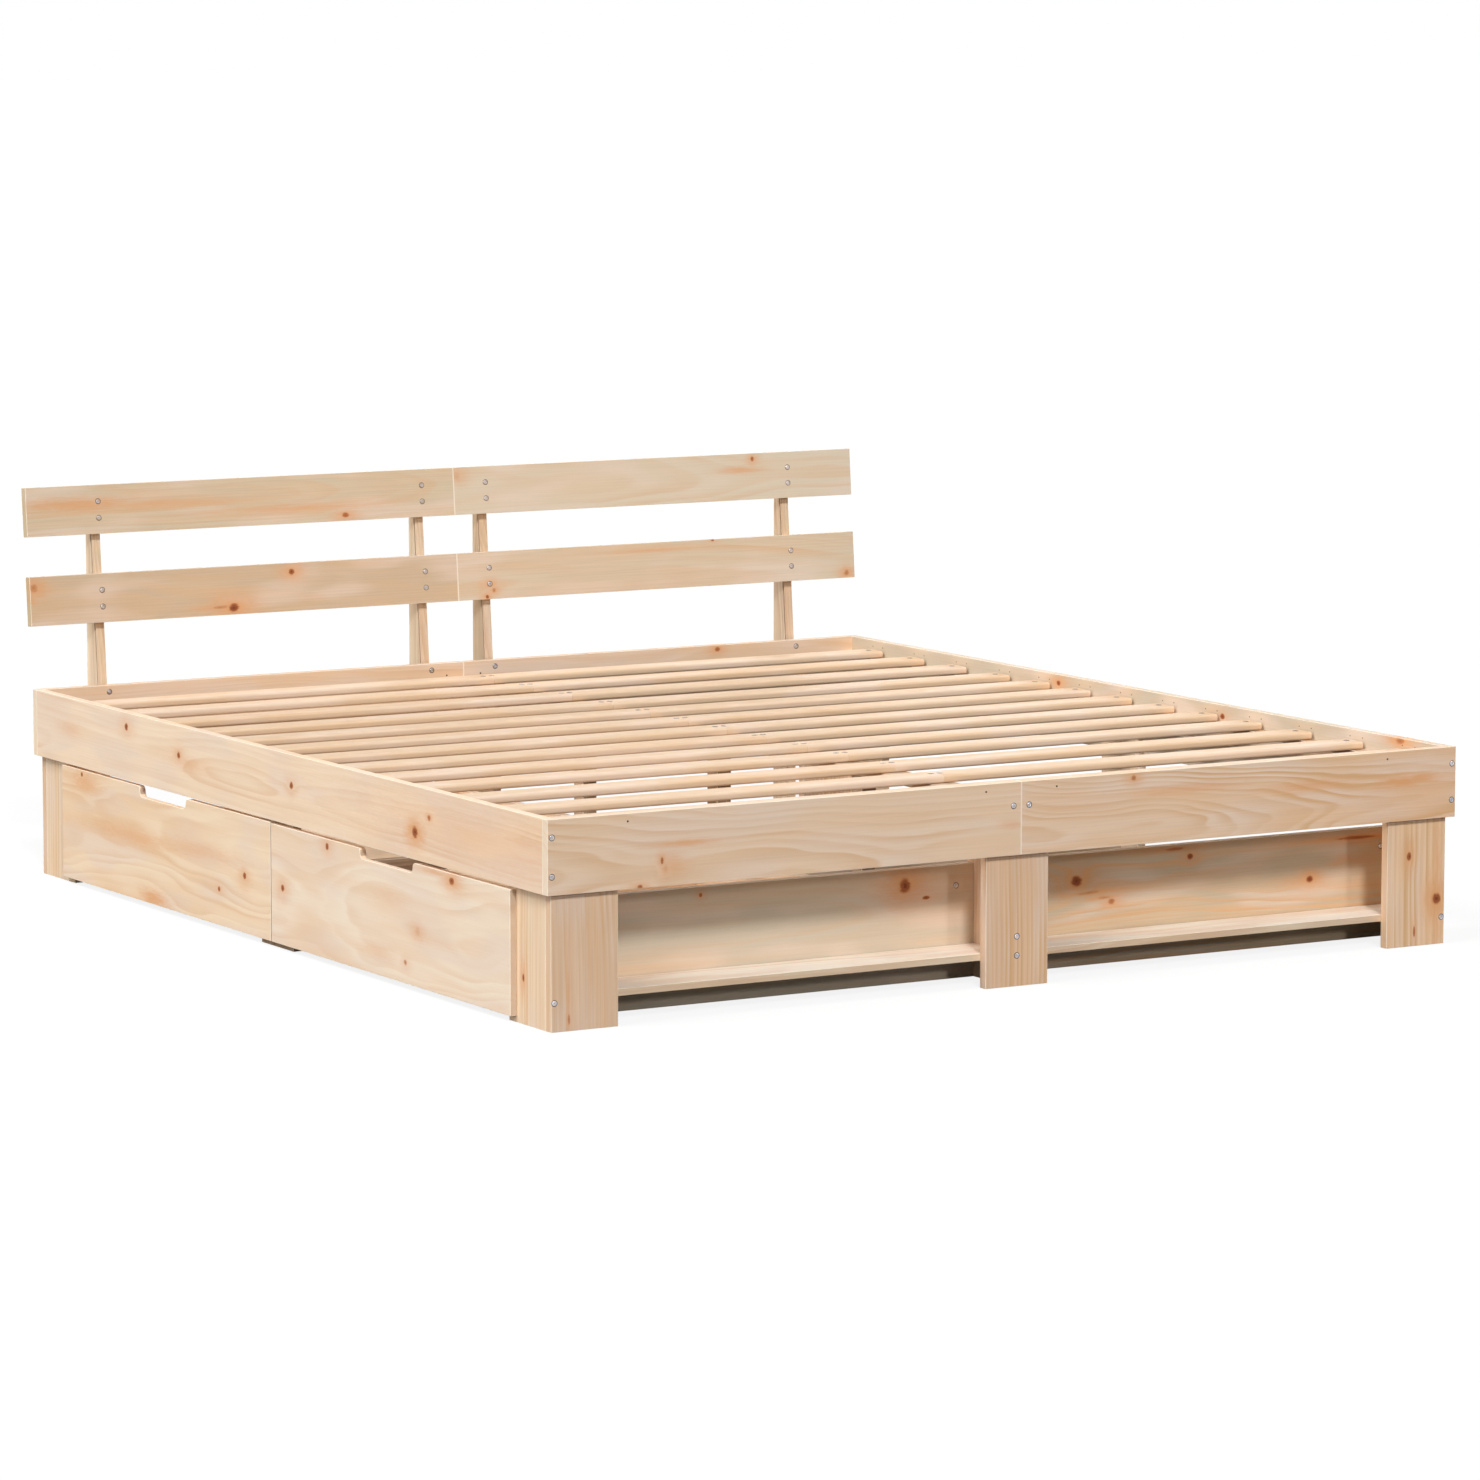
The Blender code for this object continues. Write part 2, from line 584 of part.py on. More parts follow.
def build_drawer(end, name, pine, plywood, plastic):
    """A drawer: front, four-walled box, bottom with its castor forks, and wheels."""
    low_y, high_y = sorted((end_y(end, FRONT_END_MARGIN), MIDDLE_Y + end * FRONT_TO_FRONT_GAP / 2))
    box_front_x = side_x(LEFT, LEG_INSET)
    box_back_x = box_front_x + BOX_DEPTH
    leg_faces = sorted((end_y(end, LEG_REACH), MIDDLE_Y + end * LEG_BOARD_WIDTH / 2))
    box_low = leg_faces[0] + BOX_SIDE_CLEARANCE
    box_high = leg_faces[1] - BOX_SIDE_CLEARANCE

    slide = bpy.data.objects.new(f"drawer_{name}_slide", None)
    slide.location = (box_front_x, (box_low + box_high) / 2, BOX_WALL_BOTTOM_Z)
    bpy.context.scene.collection.objects.link(slide)

    front = prism(drawer_front_outline(low_y, high_y), 0,
                  (side_x(LEFT, 0), side_x(LEFT, FRONT_THICKNESS)))
    make_node(f"drawer_{name}_front", ease_edges(front), pine, parent=slide)

    x_outer = (box_front_x, box_back_x)
    x_inner = (box_front_x + BOX_WALL_THICKNESS, box_back_x - BOX_WALL_THICKNESS)
    y_inner = (box_low + BOX_WALL_THICKNESS, box_high - BOX_WALL_THICKNESS)
    height = (BOX_WALL_BOTTOM_Z, BOX_WALL_BOTTOM_Z + BOX_WALL_HEIGHT)
    groove_low_z = BOX_WALL_BOTTOM_Z + BOX_GROOVE_UP
    panel_low_z = groove_low_z + BOX_PANEL_FIT
    panel_high_z = panel_low_z + BOX_PANEL_THICKNESS
    groove = ((x_inner[0] - BOX_GROOVE_DEPTH, x_inner[1] + BOX_GROOVE_DEPTH),
              (y_inner[0] - BOX_GROOVE_DEPTH, y_inner[1] + BOX_GROOVE_DEPTH),
              (groove_low_z, panel_high_z + BOX_PANEL_FIT))
    walls = fused_blocks([
        (x_outer, (box_low, y_inner[0]), height),
        (x_outer, (y_inner[1], box_high), height),
        ((x_outer[0], x_inner[0]), y_inner, height),
        ((x_inner[1], x_outer[1]), y_inner, height),
    ], [groove])
    make_node(f"drawer_{name}_box", walls, pine, parent=slide)

    into_groove = BOX_GROOVE_DEPTH - BOX_PANEL_FIT
    panel_x = (x_inner[0] - into_groove, x_inner[1] + into_groove)
    panel_section = [(y_inner[0] - into_groove, panel_low_z), (y_inner[1] + into_groove, panel_low_z),
                     (y_inner[1] + into_groove, panel_high_z), (y_inner[0] - into_groove, panel_high_z)]
    axle_z = FLOOR_Z + FLOOR_RUNNING_GAP + WHEEL_RADIUS
    axle_xs = (x_inner[0] + CASTOR_INSET_X, x_inner[1] - CASTOR_INSET_X)
    wheel_ys = (y_inner[0] + CASTOR_INSET_Y, y_inner[1] - CASTOR_INSET_Y)
    forks = []
    for index, centre in enumerate(product(axle_xs, wheel_ys, (axle_z,))):
        forks += fork_solids(centre, panel_low_z)
        make_node(f"drawer_{name}_wheel_{index + 1}", wheel(centre), plastic, smooth=True,
                  origin=centre, parent=slide)
    make_node(f"drawer_{name}_bottom", joined(prism(panel_section, 0, panel_x), forks), plywood,
              parent=slide)


def build():
    clear_scene()
    build_box_frame(finish_material("rail_pine", (0.72, 0.50, 0.32), 0.55, 0))
    build_legs(finish_material("leg_pine", (0.70, 0.49, 0.31), 0.55, 0))
    build_supports(finish_material("support_pine", (0.68, 0.48, 0.30), 0.60, 0))
    build_slats(finish_material("slat_pine", (0.82, 0.62, 0.42), 0.55, 0))
    build_shelf(finish_material("shelf_pine", (0.73, 0.52, 0.33), 0.55, 0))
    build_headboard(finish_material("headboard_pine", (0.72, 0.51, 0.33), 0.55, 0))
    drawer_pine = finish_material("drawer_pine", (0.80, 0.60, 0.40), 0.55, 0)
    plywood = finish_material("bottom_plywood", (0.76, 0.58, 0.38), 0.60, 0)
    plastic = finish_material("wheel_plastic", (0.05, 0.05, 0.055), 0.45, 0)
    for end, name in ENDS:
        build_drawer(end, name, drawer_pine, plywood, plastic)


build()
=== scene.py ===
import math
from itertools import product

import bmesh
import bpy
from mathutils import Matrix, Vector


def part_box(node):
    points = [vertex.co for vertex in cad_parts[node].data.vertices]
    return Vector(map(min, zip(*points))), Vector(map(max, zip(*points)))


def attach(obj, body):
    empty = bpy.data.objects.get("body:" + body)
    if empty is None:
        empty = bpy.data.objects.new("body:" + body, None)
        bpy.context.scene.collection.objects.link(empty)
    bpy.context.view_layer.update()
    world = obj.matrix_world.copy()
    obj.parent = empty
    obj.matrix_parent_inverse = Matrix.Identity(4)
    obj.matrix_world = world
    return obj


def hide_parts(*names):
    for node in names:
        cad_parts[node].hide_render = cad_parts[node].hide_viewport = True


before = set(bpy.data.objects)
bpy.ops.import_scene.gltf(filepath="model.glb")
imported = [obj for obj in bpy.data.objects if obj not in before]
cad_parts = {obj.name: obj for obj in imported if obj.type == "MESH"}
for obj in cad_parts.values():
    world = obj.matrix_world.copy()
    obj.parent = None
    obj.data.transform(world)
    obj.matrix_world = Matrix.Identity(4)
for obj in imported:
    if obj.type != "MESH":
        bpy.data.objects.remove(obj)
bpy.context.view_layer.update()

# Axes of the bed: X to the right seen from the foot, Y to the head, Z up. Metres throughout.
X, Y, Z = Vector((1, 0, 0)), Vector((0, 1, 0)), Vector((0, 0, 1))
LEFT, RIGHT = -1, 1
FOOT, HEAD = -1, 1
SIDES = ((LEFT, "left"), (RIGHT, "right"))
ENDS = ((FOOT, "foot"), (HEAD, "head"))

# Board sizes and seats that the fused solids don't give by their boxes.
BOARD = 0.018
LEG_WIDTH = 0.127
SEAT_GAP = 0.0003
RAIL_BACK = BOARD + SEAT_GAP
LEG_INSET = 0.0123
LEG_BACK = LEG_INSET + BOARD
LEG_REACH = LEG_BACK + LEG_WIDTH
BEAM = 0.014
SHELF_GAP = 0.0012
HEAD_LEG_FIT = 0.0028
HEAD_RISE = 0.0007

# Edges: eased or rounded arrises, a hairline, and a pale line where halves meet; rounded edges and that line
# are lightened as a painted highlight.
EASE = 0.0007
SLAT_ROUND = 0.0050
HAIRLINE = 0.00002
PALE_SEAM = 0.0013
SHARP = math.radians(30)
NARROW, SQUARE_ON, FACING = 0.0004, 0.98, 0.8

HALF_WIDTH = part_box("side_rail_right")[1].x
FOOT_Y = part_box("foot_rail_left")[0].y
HEAD_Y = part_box("head_rail_left")[1].y
MIDDLE_Y = (FOOT_Y + HEAD_Y) / 2
SHOULDER_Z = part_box("foot_rail_left")[0].z - SEAT_GAP
RAIL_TOP_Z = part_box("foot_rail_left")[1].z


def side_x(side, inward):
    """X of a place that far inside the outer face of the left or right side."""
    return side * (HALF_WIDTH - inward)


def end_y(end, inward):
    """Y of a place that far inside the outer face of the foot or the head."""
    return FOOT_Y + inward if end == FOOT else HEAD_Y - inward


# ---------- solids ----------

def inside(box, point):
    """Whether a point lies inside a box of three spans."""
    return all(min(span) < place < max(span) for span, place in zip(box, point))


def blocks(boxes, cuts=()):
    """One solid of boxes that meet face to face, less the boxes cut out of them."""
    places = []
    for axis in range(3):
        row = []
        for place in sorted(p for box in (*boxes, *cuts) for p in box[axis]):
            if not row or place - row[-1] > SEAT_GAP / 3:
                row.append(place)
        places.append(row)

    def filled(cell):
        if any(not 0 <= index < len(row) - 1 for index, row in zip(cell, places)):
            return False
        middle = [(row[index] + row[index + 1]) / 2 for index, row in zip(cell, places)]
        return (any(inside(box, middle) for box in boxes)
                and not any(inside(box, middle) for box in cuts))

    solid = bmesh.new()
    corners = {}
    for cell in product(*(range(len(row) - 1) for row in places)):
        for axis, toward in product(range(3), (0, 1)):
            beside = list(cell)
            beside[axis] += 1 if toward else -1
            if not filled(cell) or filled(beside):
                continue
            around = []
            for step in ((0, 0), (1, 0), (1, 1), (0, 1)):
                key = list(cell)
                key[axis] += toward
                for other, amount in zip([other for other in range(3) if other != axis], step):
                    key[other] += amount
                key = tuple(key)
                if key not in corners:
                    corners[key] = solid.verts.new([row[index] for index, row in zip(key, places)])
                around.append(corners[key])
            solid.faces.new(around)
    bmesh.ops.recalc_face_normals(solid, faces=solid.faces)
    bmesh.ops.dissolve_limit(solid, angle_limit=math.radians(1), verts=solid.verts[:],
                             edges=solid.edges[:])
    return solid


def lofted(rings):
    """A solid through rings of as many points each, closed at both ends."""
    solid = bmesh.new()
    loops = [[solid.verts.new(place) for place in ring] for ring in rings]
    for near, far in zip(loops, loops[1:]):
        for index in range(len(near)):
            solid.faces.new((near[index - 1], near[index], far[index], far[index - 1]))
    solid.faces.new(loops[0])
    solid.faces.new(loops[-1])
    bmesh.ops.recalc_face_normals(solid, faces=solid.faces)
    return solid


def ring_at(outline, axis, along):
    """The points of an outline of pairs, square to an axis, at a place on it."""
    return [(*pair[:axis], along, *pair[axis:]) for pair in map(tuple, outline)]


def prism(outline, axis, span):
    """An outline of pairs square to an axis, extruded between two places on it."""
    return lofted([ring_at(outline, axis, along) for along in span])


def arc(centre, radius, start, end, steps):
    """Points of an arc between two angles in degrees, both ends included."""
    return [(centre[0] + radius * math.cos(math.radians(start + (end - start) * step / steps)),
             centre[1] + radius * math.sin(math.radians(start + (end - start) * step / steps)))
            for step in range(steps + 1)]


def rounded_section(low, high, radius, steps=5):
    """The cross-section of a bar with four rounded edges."""
    left, right = low[0] + radius, high[0] - radius
    bottom, top = low[1] + radius, high[1] - radius
    outline = []
    for turn, centre in enumerate(((right, top), (left, top), (left, bottom), (right, bottom))):
        outline += arc(centre, radius, 90 * turn, 90 * turn + 90, steps)
    return outline


def rounded_bar(low, high, axis, radius, ease=EASE):
    """A bar along an axis with rounded long edges and slightly eased ends."""
    cross = [index for index in range(3) if index != axis]
    rings = []
    for along, shrink in ((low[axis], ease), (low[axis] + ease / 3, ease / 3), (low[axis] + ease, 0),
                          (high[axis] - ease, 0), (high[axis] - ease / 3, ease / 3), (high[axis], ease)):
        section = rounded_section([low[index] + shrink for index in cross],
                                  [high[index] - shrink for index in cross], radius - shrink / 2)
        rings.append(ring_at(section, axis, along))
    return lofted(rings)


def turned(profile, axis, centre, segments):
    """A closed profile of (radius, place along the axis) pairs turned about an axis."""
    solid = bmesh.new()
    ring = [solid.verts.new((radius, 0, place)) for radius, place in profile]
    edges = [solid.edges.new((ring[index - 1], ring[index])) for index in range(len(ring))]
    bmesh.ops.spin(solid, geom=ring + edges, cent=(0, 0, 0), axis=(0, 0, 1), angle=math.tau,
                   steps=segments, use_merge=True)
    bmesh.ops.recalc_face_normals(solid, faces=solid.faces)
    turn = Z.rotation_difference(axis).to_matrix().to_4x4()
    solid.transform(Matrix.Translation(centre) @ turn)
    return solid


def merged(solids):
    """Several closed solids as one mesh."""
    whole = bmesh.new()
    for solid in solids:
        part = bpy.data.meshes.new("part")
        solid.to_mesh(part)
        whole.from_mesh(part)
        bpy.data.meshes.remove(part)
        solid.free()
    return whole


def piece(name, solid, finish, body, stands_for=(), smooth=True):
    """Set a solid in the bed as a piece with its finish, riding on its body."""
    mesh = bpy.data.meshes.new(name)
    solid.to_mesh(mesh)
    solid.free()
    mesh.materials.append(finish)
    if smooth:
        mesh.shade_smooth()
    made = bpy.data.objects.new(name, mesh)
    bpy.context.scene.collection.objects.link(made)
    if smooth:
        made.modifiers.new("even_shading", "WEIGHTED_NORMAL").keep_sharp = True
    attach(made, body)
    if stands_for:
        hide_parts(*stands_for)
    return made


def wooden(name, solid, along, across, finish, stands_for, body="bed_frame", ease=EASE, seam=False):
    """A board: edges rounded, and every point marked with its place in the board.

    Seam gives a pale edge, a painted highlight, to halves that meet in the middle of the bed. The mark "wood"
    runs along the grain, across the face and through the thickness, in metres from the board's middle. "edge"
    is one on rounded edges, "end" on end grain, "side" on long sides.
    """
    if ease:
        meeting = {edge for edge in solid.edges
                   if seam and all(abs(vert.co.x) < SEAT_GAP for vert in edge.verts)}
        for edge in meeting:
            edge.smooth = False
        corners = [edge for edge in solid.edges if edge.is_manifold and edge not in meeting
                   and edge.calc_face_angle_signed() > SHARP]
        bmesh.ops.bevel(solid, geom=corners, offset=ease, offset_type="OFFSET", segments=3, profile=0.5,
                        affect="EDGES", clamp_overlap=True)
    for place in (-PALE_SEAM, PALE_SEAM) if seam else ():
        bmesh.ops.bisect_plane(solid, geom=solid.verts[:] + solid.edges[:] + solid.faces[:],
                               plane_co=(place, 0, 0), plane_no=X)
    axes = (along, across, along.cross(across))
    reach = [[vert.co.dot(axis) for vert in solid.verts] for axis in axes]
    middle = [(min(row) + max(row)) / 2 for row in reach]
    wood = solid.verts.layers.float_vector.new("wood")
    edge_mark, end_mark, side_mark, seed_mark = [solid.faces.layers.float.new(mark)
                                                 for mark in ("edge", "end", "side", "seed")]
    for vert in solid.verts:
        vert[wood] = [vert.co.dot(axis) - place for axis, place in zip(axes, middle)]
    seed = sum((index + 3) * ord(letter) for index, letter in enumerate(name)) % 611 / 10
    for face in solid.faces:
        face.normal_update()
        narrow = face.calc_area() < NARROW * face.calc_perimeter()
        rounded = narrow and all(abs(face.normal.dot(axis)) < SQUARE_ON for axis in axes)
        in_seam = seam and abs(face.calc_center_median().x) < PALE_SEAM
        face[edge_mark] = float(bool(ease and rounded or in_seam))
        face[end_mark] = float(abs(face.normal.dot(along)) > FACING)
        face[side_mark] = float(abs(face.normal.dot(across)) > FACING)
        face[seed_mark] = seed
    return piece(name, solid, finish, body, stands_for)


# ---------- values over a surface ----------

class Value:
    """What a node gives over a surface. A sum with it adds a Math node to its tree."""

    def __init__(self, tree, socket):
        self.tree, self.socket = tree, socket

    def __add__(self, other):
        return calc("ADD", self, other)

    def __sub__(self, other):
        return calc("SUBTRACT", self, other)

    def __mul__(self, other):
        return calc("MULTIPLY", self, other)

    def __truediv__(self, other):
        return calc("DIVIDE", self, other)

    def __rtruediv__(self, other):
        return calc("DIVIDE", other, self)


def feed(socket, value):
    """Wire a socket to a value, or set it to a constant. None leaves it as it is."""
    if isinstance(value, Value):
        value.tree.links.new(value.socket, socket)
    elif socket.type == "RGBA" and value is not None and len(value) == 3:
        socket.default_value = (*value, 1)
    elif value is not None:
        socket.default_value = value


def new_node(tree, kind, settings):
    """A node of a kind, such as Math or Mix, with its settings made."""
    node = tree.nodes.new("ShaderNode" + kind)
    for setting, choice in settings.items():
        setattr(node, setting, choice)
    return node


def source(tree, kind, output, **settings):
    """One output of a node that takes nothing in."""
    return Value(tree, new_node(tree, kind, settings).outputs[output])


def worked(kind, values, **settings):
    """All outputs of a node that takes these values in, in the order of its sockets."""
    tree = next(value.tree for value in values if isinstance(value, Value))
    node = new_node(tree, kind, settings)
    for socket, value in zip(node.inputs, values):
        feed(socket, value)
    return [Value(tree, socket) for socket in node.outputs]


def calc(operation, *values, clamp=False):
    """What a Math node makes of some values."""
    return worked("Math", values, operation=operation, use_clamp=clamp)[0]


def length_of(a, b):
    """The length of a slanting line from its two square shares."""
    return calc("SQRT", a * a + b * b)


def smooth_step(value, low, high, to_low=0.0, to_high=1.0):
    """A value eased from one level to another between two bounds."""
    return worked("MapRange", (value, low, high, to_low, to_high), interpolation_type="SMOOTHSTEP")[0]


def mixed(factor, first, second, kind="MIX"):
    """Two colours mixed by a factor."""
    return worked("Mix", (factor, *[None] * 5, first, second), data_type="RGBA", blend_type=kind)[2]


def apart(vector):
    """The three numbers of a vector."""
    return worked("SeparateXYZ", (vector,))


def together(x, y, z):
    """A vector of three numbers."""
    return worked("CombineXYZ", (x, y, z))[0]


def cloud(vector, scale, detail, roughness=0.5):
    """Soft noise: its value and its three-number colour."""
    return worked("TexNoise", (vector, None, scale, detail, roughness))


def grained(point, seed, along, across, detail, roughness=0.5):
    """Noise drawn out along the grain and moved off by the board's seed: value and colour."""
    u, v, w = apart(point)
    return cloud(together(u * along + seed * 3.17, v * across, w * across), 1.0, detail, roughness)


def chance(value):
    """Random numbers that stay the same for a value: one, and a colour of three."""
    return worked("TexWhiteNoise", (None, value), noise_dimensions="1D")


def group_of(name, inputs, outputs):
    """A node group with named sockets: the group, what it is given, and the sockets of what it gives."""
    group = bpy.data.node_groups.new(name, "ShaderNodeTree")
    for label, usual in inputs.items():
        kind = "Float" if isinstance(usual, float) else "Vector" if len(usual) == 3 else "Color"
        socket = group.interface.new_socket(label, in_out="INPUT", socket_type="NodeSocket" + kind)
        socket.default_value = usual
    for label, kind in outputs.items():
        group.interface.new_socket(label, in_out="OUTPUT", socket_type="NodeSocket" + kind)
    given = {socket.name: Value(group, socket) for socket in group.nodes.new("NodeGroupInput").outputs}
    return group, given, group.nodes.new("NodeGroupOutput").inputs


def placed(tree, group, values):
    """A group set in a material with its own values: what it gives, by name."""
    node = tree.nodes.new("ShaderNodeGroup")
    node.node_tree = group
    for label, value in values.items():
        feed(node.inputs[label], value)
    return {socket.name: Value(tree, socket) for socket in node.outputs}


def marked(tree, name, output="Fac"):
    """What a board's mesh is marked with under a name."""
    return source(tree, "Attribute", output, attribute_name=name)


# ---------- effects shared by the wood finishes ----------

def growth_rings():
    """Year rings round a pith that sways under the face, cut wherever the face lies."""
    group, given, result = group_of("growth_rings", {
        "Point": (0, 0, 0), "Seed": 0.0, "Pith Side": 0.0, "Pith Depth": 0.045, "Slant": 0.01,
        "Ring Width": 0.008, "Wander": 0.004, "Variety": 1.0,
    }, {"Latewood": "Float", "Band": "Float"})
    point, seed, wander, variety = [given[label] for label in ("Point", "Seed", "Wander", "Variety")]
    u, v, w = apart(point)
    luck_v, luck_w, _ = apart(chance(seed)[1])
    warp_v, warp_w, _ = apart(grained(point, seed, 2.6, 15.0, 2.5)[1])
    sway_v, sway_w, _ = apart(cloud(together(u * 1.7 + seed, seed, 0.0), 1.0, 1.5)[1])

    def wandering(place, warp, sway, slant_share):
        """A place in the section as the trunk's small warps, its long sway and its slant move it."""
        moved = (warp - 0.5) * (wander * 3.0) + place
        return moved + (sway - 0.5) * (wander * 9.0) + u * given["Slant"] * slant_share

    pith_v = (luck_v - 0.5) * (variety * 0.09) + given["Pith Side"]
    pith_w = luck_w * (variety * 0.03) + given["Pith Depth"]
    off_v = wandering(v, warp_v, sway_v, 0.6) - pith_v
    off_w = wandering(w, warp_w, sway_w, 1.0) + pith_w
    rings = length_of(off_v, off_w) / given["Ring Width"]
    uneven = cloud(together(rings * 0.45, seed, 0.0), 1.0, 1.0)[0]
    rings = uneven * 2.2 + rings

    # Each year darkens slowly, ends sharply, and is as strong as its own luck has it.
    year = calc("FRACT", rings)
    rise, fall = smooth_step(year, 0.10, 0.84), smooth_step(year, 0.84, 1.0, 1.0, 0.0)
    strength = chance(calc("FLOOR", rings) + seed * 7.7)[0] * 0.72 + 0.28
    fading = grained(point, seed + 4.0, 3.4, 14.0, 1.0)[0]
    strength = strength * smooth_step(fading, 0.36, 0.62, 0.35, 1.0)
    feed(result["Latewood"], rise * fall * strength)
    band = cloud(together(rings * 0.55, u * 1.2, seed + 5.0), 1.0, 1.0)[0]
    feed(result["Band"], smooth_step(band, 0.46, 0.66))
    return group


def knot():
    """A knot or resin stain: grain lines part round a dark heart with a stained rim."""
    group, given, result = group_of("knot", {
        "Point": (0, 0, 0), "Heart": 0.0, "Halo": 0.0, "Centre": (0, 0, 0), "Radius": 0.008, "Dark": 1.0,
        "Stain": 0.6, "Stretch": 1.0,
    }, {"Point": "Vector", "Heart": "Float", "Halo": "Float"})
    point, radius, dark = given["Point"], given["Radius"], given["Dark"]
    u, v, w = apart(point)
    centre_u, centre_v, _ = apart(given["Centre"])
    off_u, off_v = (u - centre_u) / given["Stretch"], v - centre_v
    ragged = grained(point, 0.0, 60.0, 210.0, 2.0)[0] - 0.5
    far = ragged * 0.7 + length_of(off_u, off_v) / radius
    squared = far * far

    # Lines part beside the knot, and swell as if the face were cut deeper there.
    parting = calc("MINIMUM", 1.0 / calc("MAXIMUM", squared, 0.05), 1.0) * (dark * 0.85)
    swell = calc("EXPONENT", squared * -0.12) * dark
    feed(result["Point"], together(u, v - off_v * parting, swell * (radius * 1.5) + w))
    layers = calc("SINE", far * 11.0) * 0.14 + 0.86
    heart = smooth_step(far, 0.25, 1.45, 1.0, 0.0) * (layers * dark)
    feed(result["Heart"], calc("MAXIMUM", heart, given["Heart"]))

    # The stain runs further along the grain, in streaks.
    streaks = grained(point, 0.0, 26.0, 520.0, 2.0)[0] - 0.5
    wide = ragged * 1.3 + length_of(off_u / 1.5, off_v) / radius
    spread = calc("MAXIMUM", (streaks * 2.0 + wide) / (dark * 1.5 + 1.9), 0.0)
    halo = calc("EXPONENT", spread * spread * -1.0)
    feed(result["Halo"], calc("MAXIMUM", halo * given["Stain"], given["Halo"]))
    return group


def wood_fibre():
    """Fine fibres, short resin flecks, and slow patches of paler and warmer wood."""
    group, given, result = group_of("wood_fibre", {"Point": (0, 0, 0), "Seed": 0.0}, {
        "Fibre": "Float", "Flecks": "Float", "Patch": "Float", "Blush": "Float"})
    point, seed = given["Point"], given["Seed"]
    feed(result["Fibre"], grained(point, seed, 5.0, 330.0, 3.0, 0.6)[0])
    feed(result["Flecks"], smooth_step(grained(point, seed, 60.0, 1300.0, 1.0)[0], 0.66, 0.78))
    feed(result["Patch"], smooth_step(grained(point, seed, 4.5, 17.0, 1.5)[0], 0.44, 0.64))
    feed(result["Blush"], smooth_step(grained(point, seed + 9.0, 3.6, 21.0, 1.5)[0], 0.46, 0.68))
    return group


WARM_BAND, PALE_PATCH, WARM_BLUSH = (0.81, 0.50, 0.27), (0.85, 0.69, 0.58), (0.86, 0.58, 0.36)
# The edge colour is a painted highlight on rounded edges and seams.
FLECK, RESIN, EDGE_HIGHLIGHT = (0.55, 0.30, 0.15), (0.78, 0.38, 0.165), (0.98, 0.88, 0.74)
KNOT_RIM, KNOT_HEART = (0.52, 0.19, 0.075), (0.22, 0.055, 0.025)


def planed_face():
    """The colour, roughness and relief of planed, unfinished wood, with a painted highlight on its edges."""
    group, given, result = group_of("planed_face", {
        "Early Colour": (0.8, 0.6, 0.4, 1), "Late Colour": (0.7, 0.4, 0.2, 1), "Contrast": 0.5, "Warmth": 0.3,
        "Streak": 0.04, "Latewood": 0.0, "Band": 0.0, "Fibre": 0.5, "Flecks": 0.0, "Patch": 0.0, "Blush": 0.0,
        "Heart": 0.0, "Halo": 0.0, "Edge": 0.0, "End": 0.0, "End Colour": (0.95, 0.82, 0.64, 1),
    }, {"Color": "Color", "Roughness": "Float", "Relief": "Float"})
    fibre, heart, end, warmth = [given[label] for label in ("Fibre", "Heart", "End", "Warmth")]
    late_share = calc("MULTIPLY", given["Latewood"], given["Contrast"], clamp=True)
    streak = smooth_step(fibre, 0.30, 0.70, -0.6, 0.4) * given["Streak"] + 1.0
    colour = mixed(given["Band"] * warmth, given["Early Colour"], WARM_BAND)
    colour = mixed(given["Patch"] * 0.50, colour, PALE_PATCH)
    colour = mixed(given["Blush"] * warmth, colour, WARM_BLUSH)
    colour = mixed(late_share, colour, given["Late Colour"])
    colour = mixed(1.0, colour, worked("CombineColor", (streak, streak, streak))[0], "MULTIPLY")
    colour = mixed(given["Flecks"] * 0.14, colour, FLECK)
    colour = mixed(calc("MULTIPLY", given["Halo"], 0.88, clamp=True), colour, RESIN)
    colour = mixed(smooth_step(heart, 0.0, 0.35), colour, KNOT_RIM)
    colour = mixed(smooth_step(heart, 0.25, 0.85, 0.0, 0.92), colour, KNOT_HEART)
    colour = mixed(end * 0.55, colour, given["End Colour"])
    # Painted highlight: rounded edges and seams are lightened.
    feed(result["Color"], mixed(given["Edge"] * 0.80, colour, EDGE_HIGHLIGHT))
    rough = late_share * -0.08 + (fibre * 0.14 + 0.62)
    feed(result["Roughness"], heart * -0.12 + (end * 0.14 + rough))
    feed(result["Relief"], heart * 0.4 + (given["Latewood"] * 0.5 + fibre * 0.5))
    return group


RINGS, KNOT, FIBRE, FACE = growth_rings(), knot(), wood_fibre(), planed_face()
CREAM, TAN = (0.91, 0.71, 0.515), (0.74, 0.46, 0.25)
# Brown end is end grain darkened further as painted shade, for drawer ends that stand in the legs' shade.
PALE_END, TAN_END, BROWN_END = (0.95, 0.82, 0.64), (0.62, 0.50, 0.30), (0.38, 0.25, 0.16)


def new_finish(name):
    """An empty finish, its node tree and its shader's sockets."""
    finish = bpy.data.materials.new(name)
    finish.use_nodes = True
    return finish, finish.node_tree, finish.node_tree.nodes["Principled BSDF"].inputs


def raise_grain(shader, height, strength, distance):
    """Give the shader a fine relief."""
    relief = new_node(height.tree, "Bump", {})
    feed(relief.inputs["Strength"], strength)
    feed(relief.inputs["Distance"], distance)
    feed(relief.inputs["Height"], height)
    feed(shader["Normal"], Value(height.tree, relief.outputs[0]))


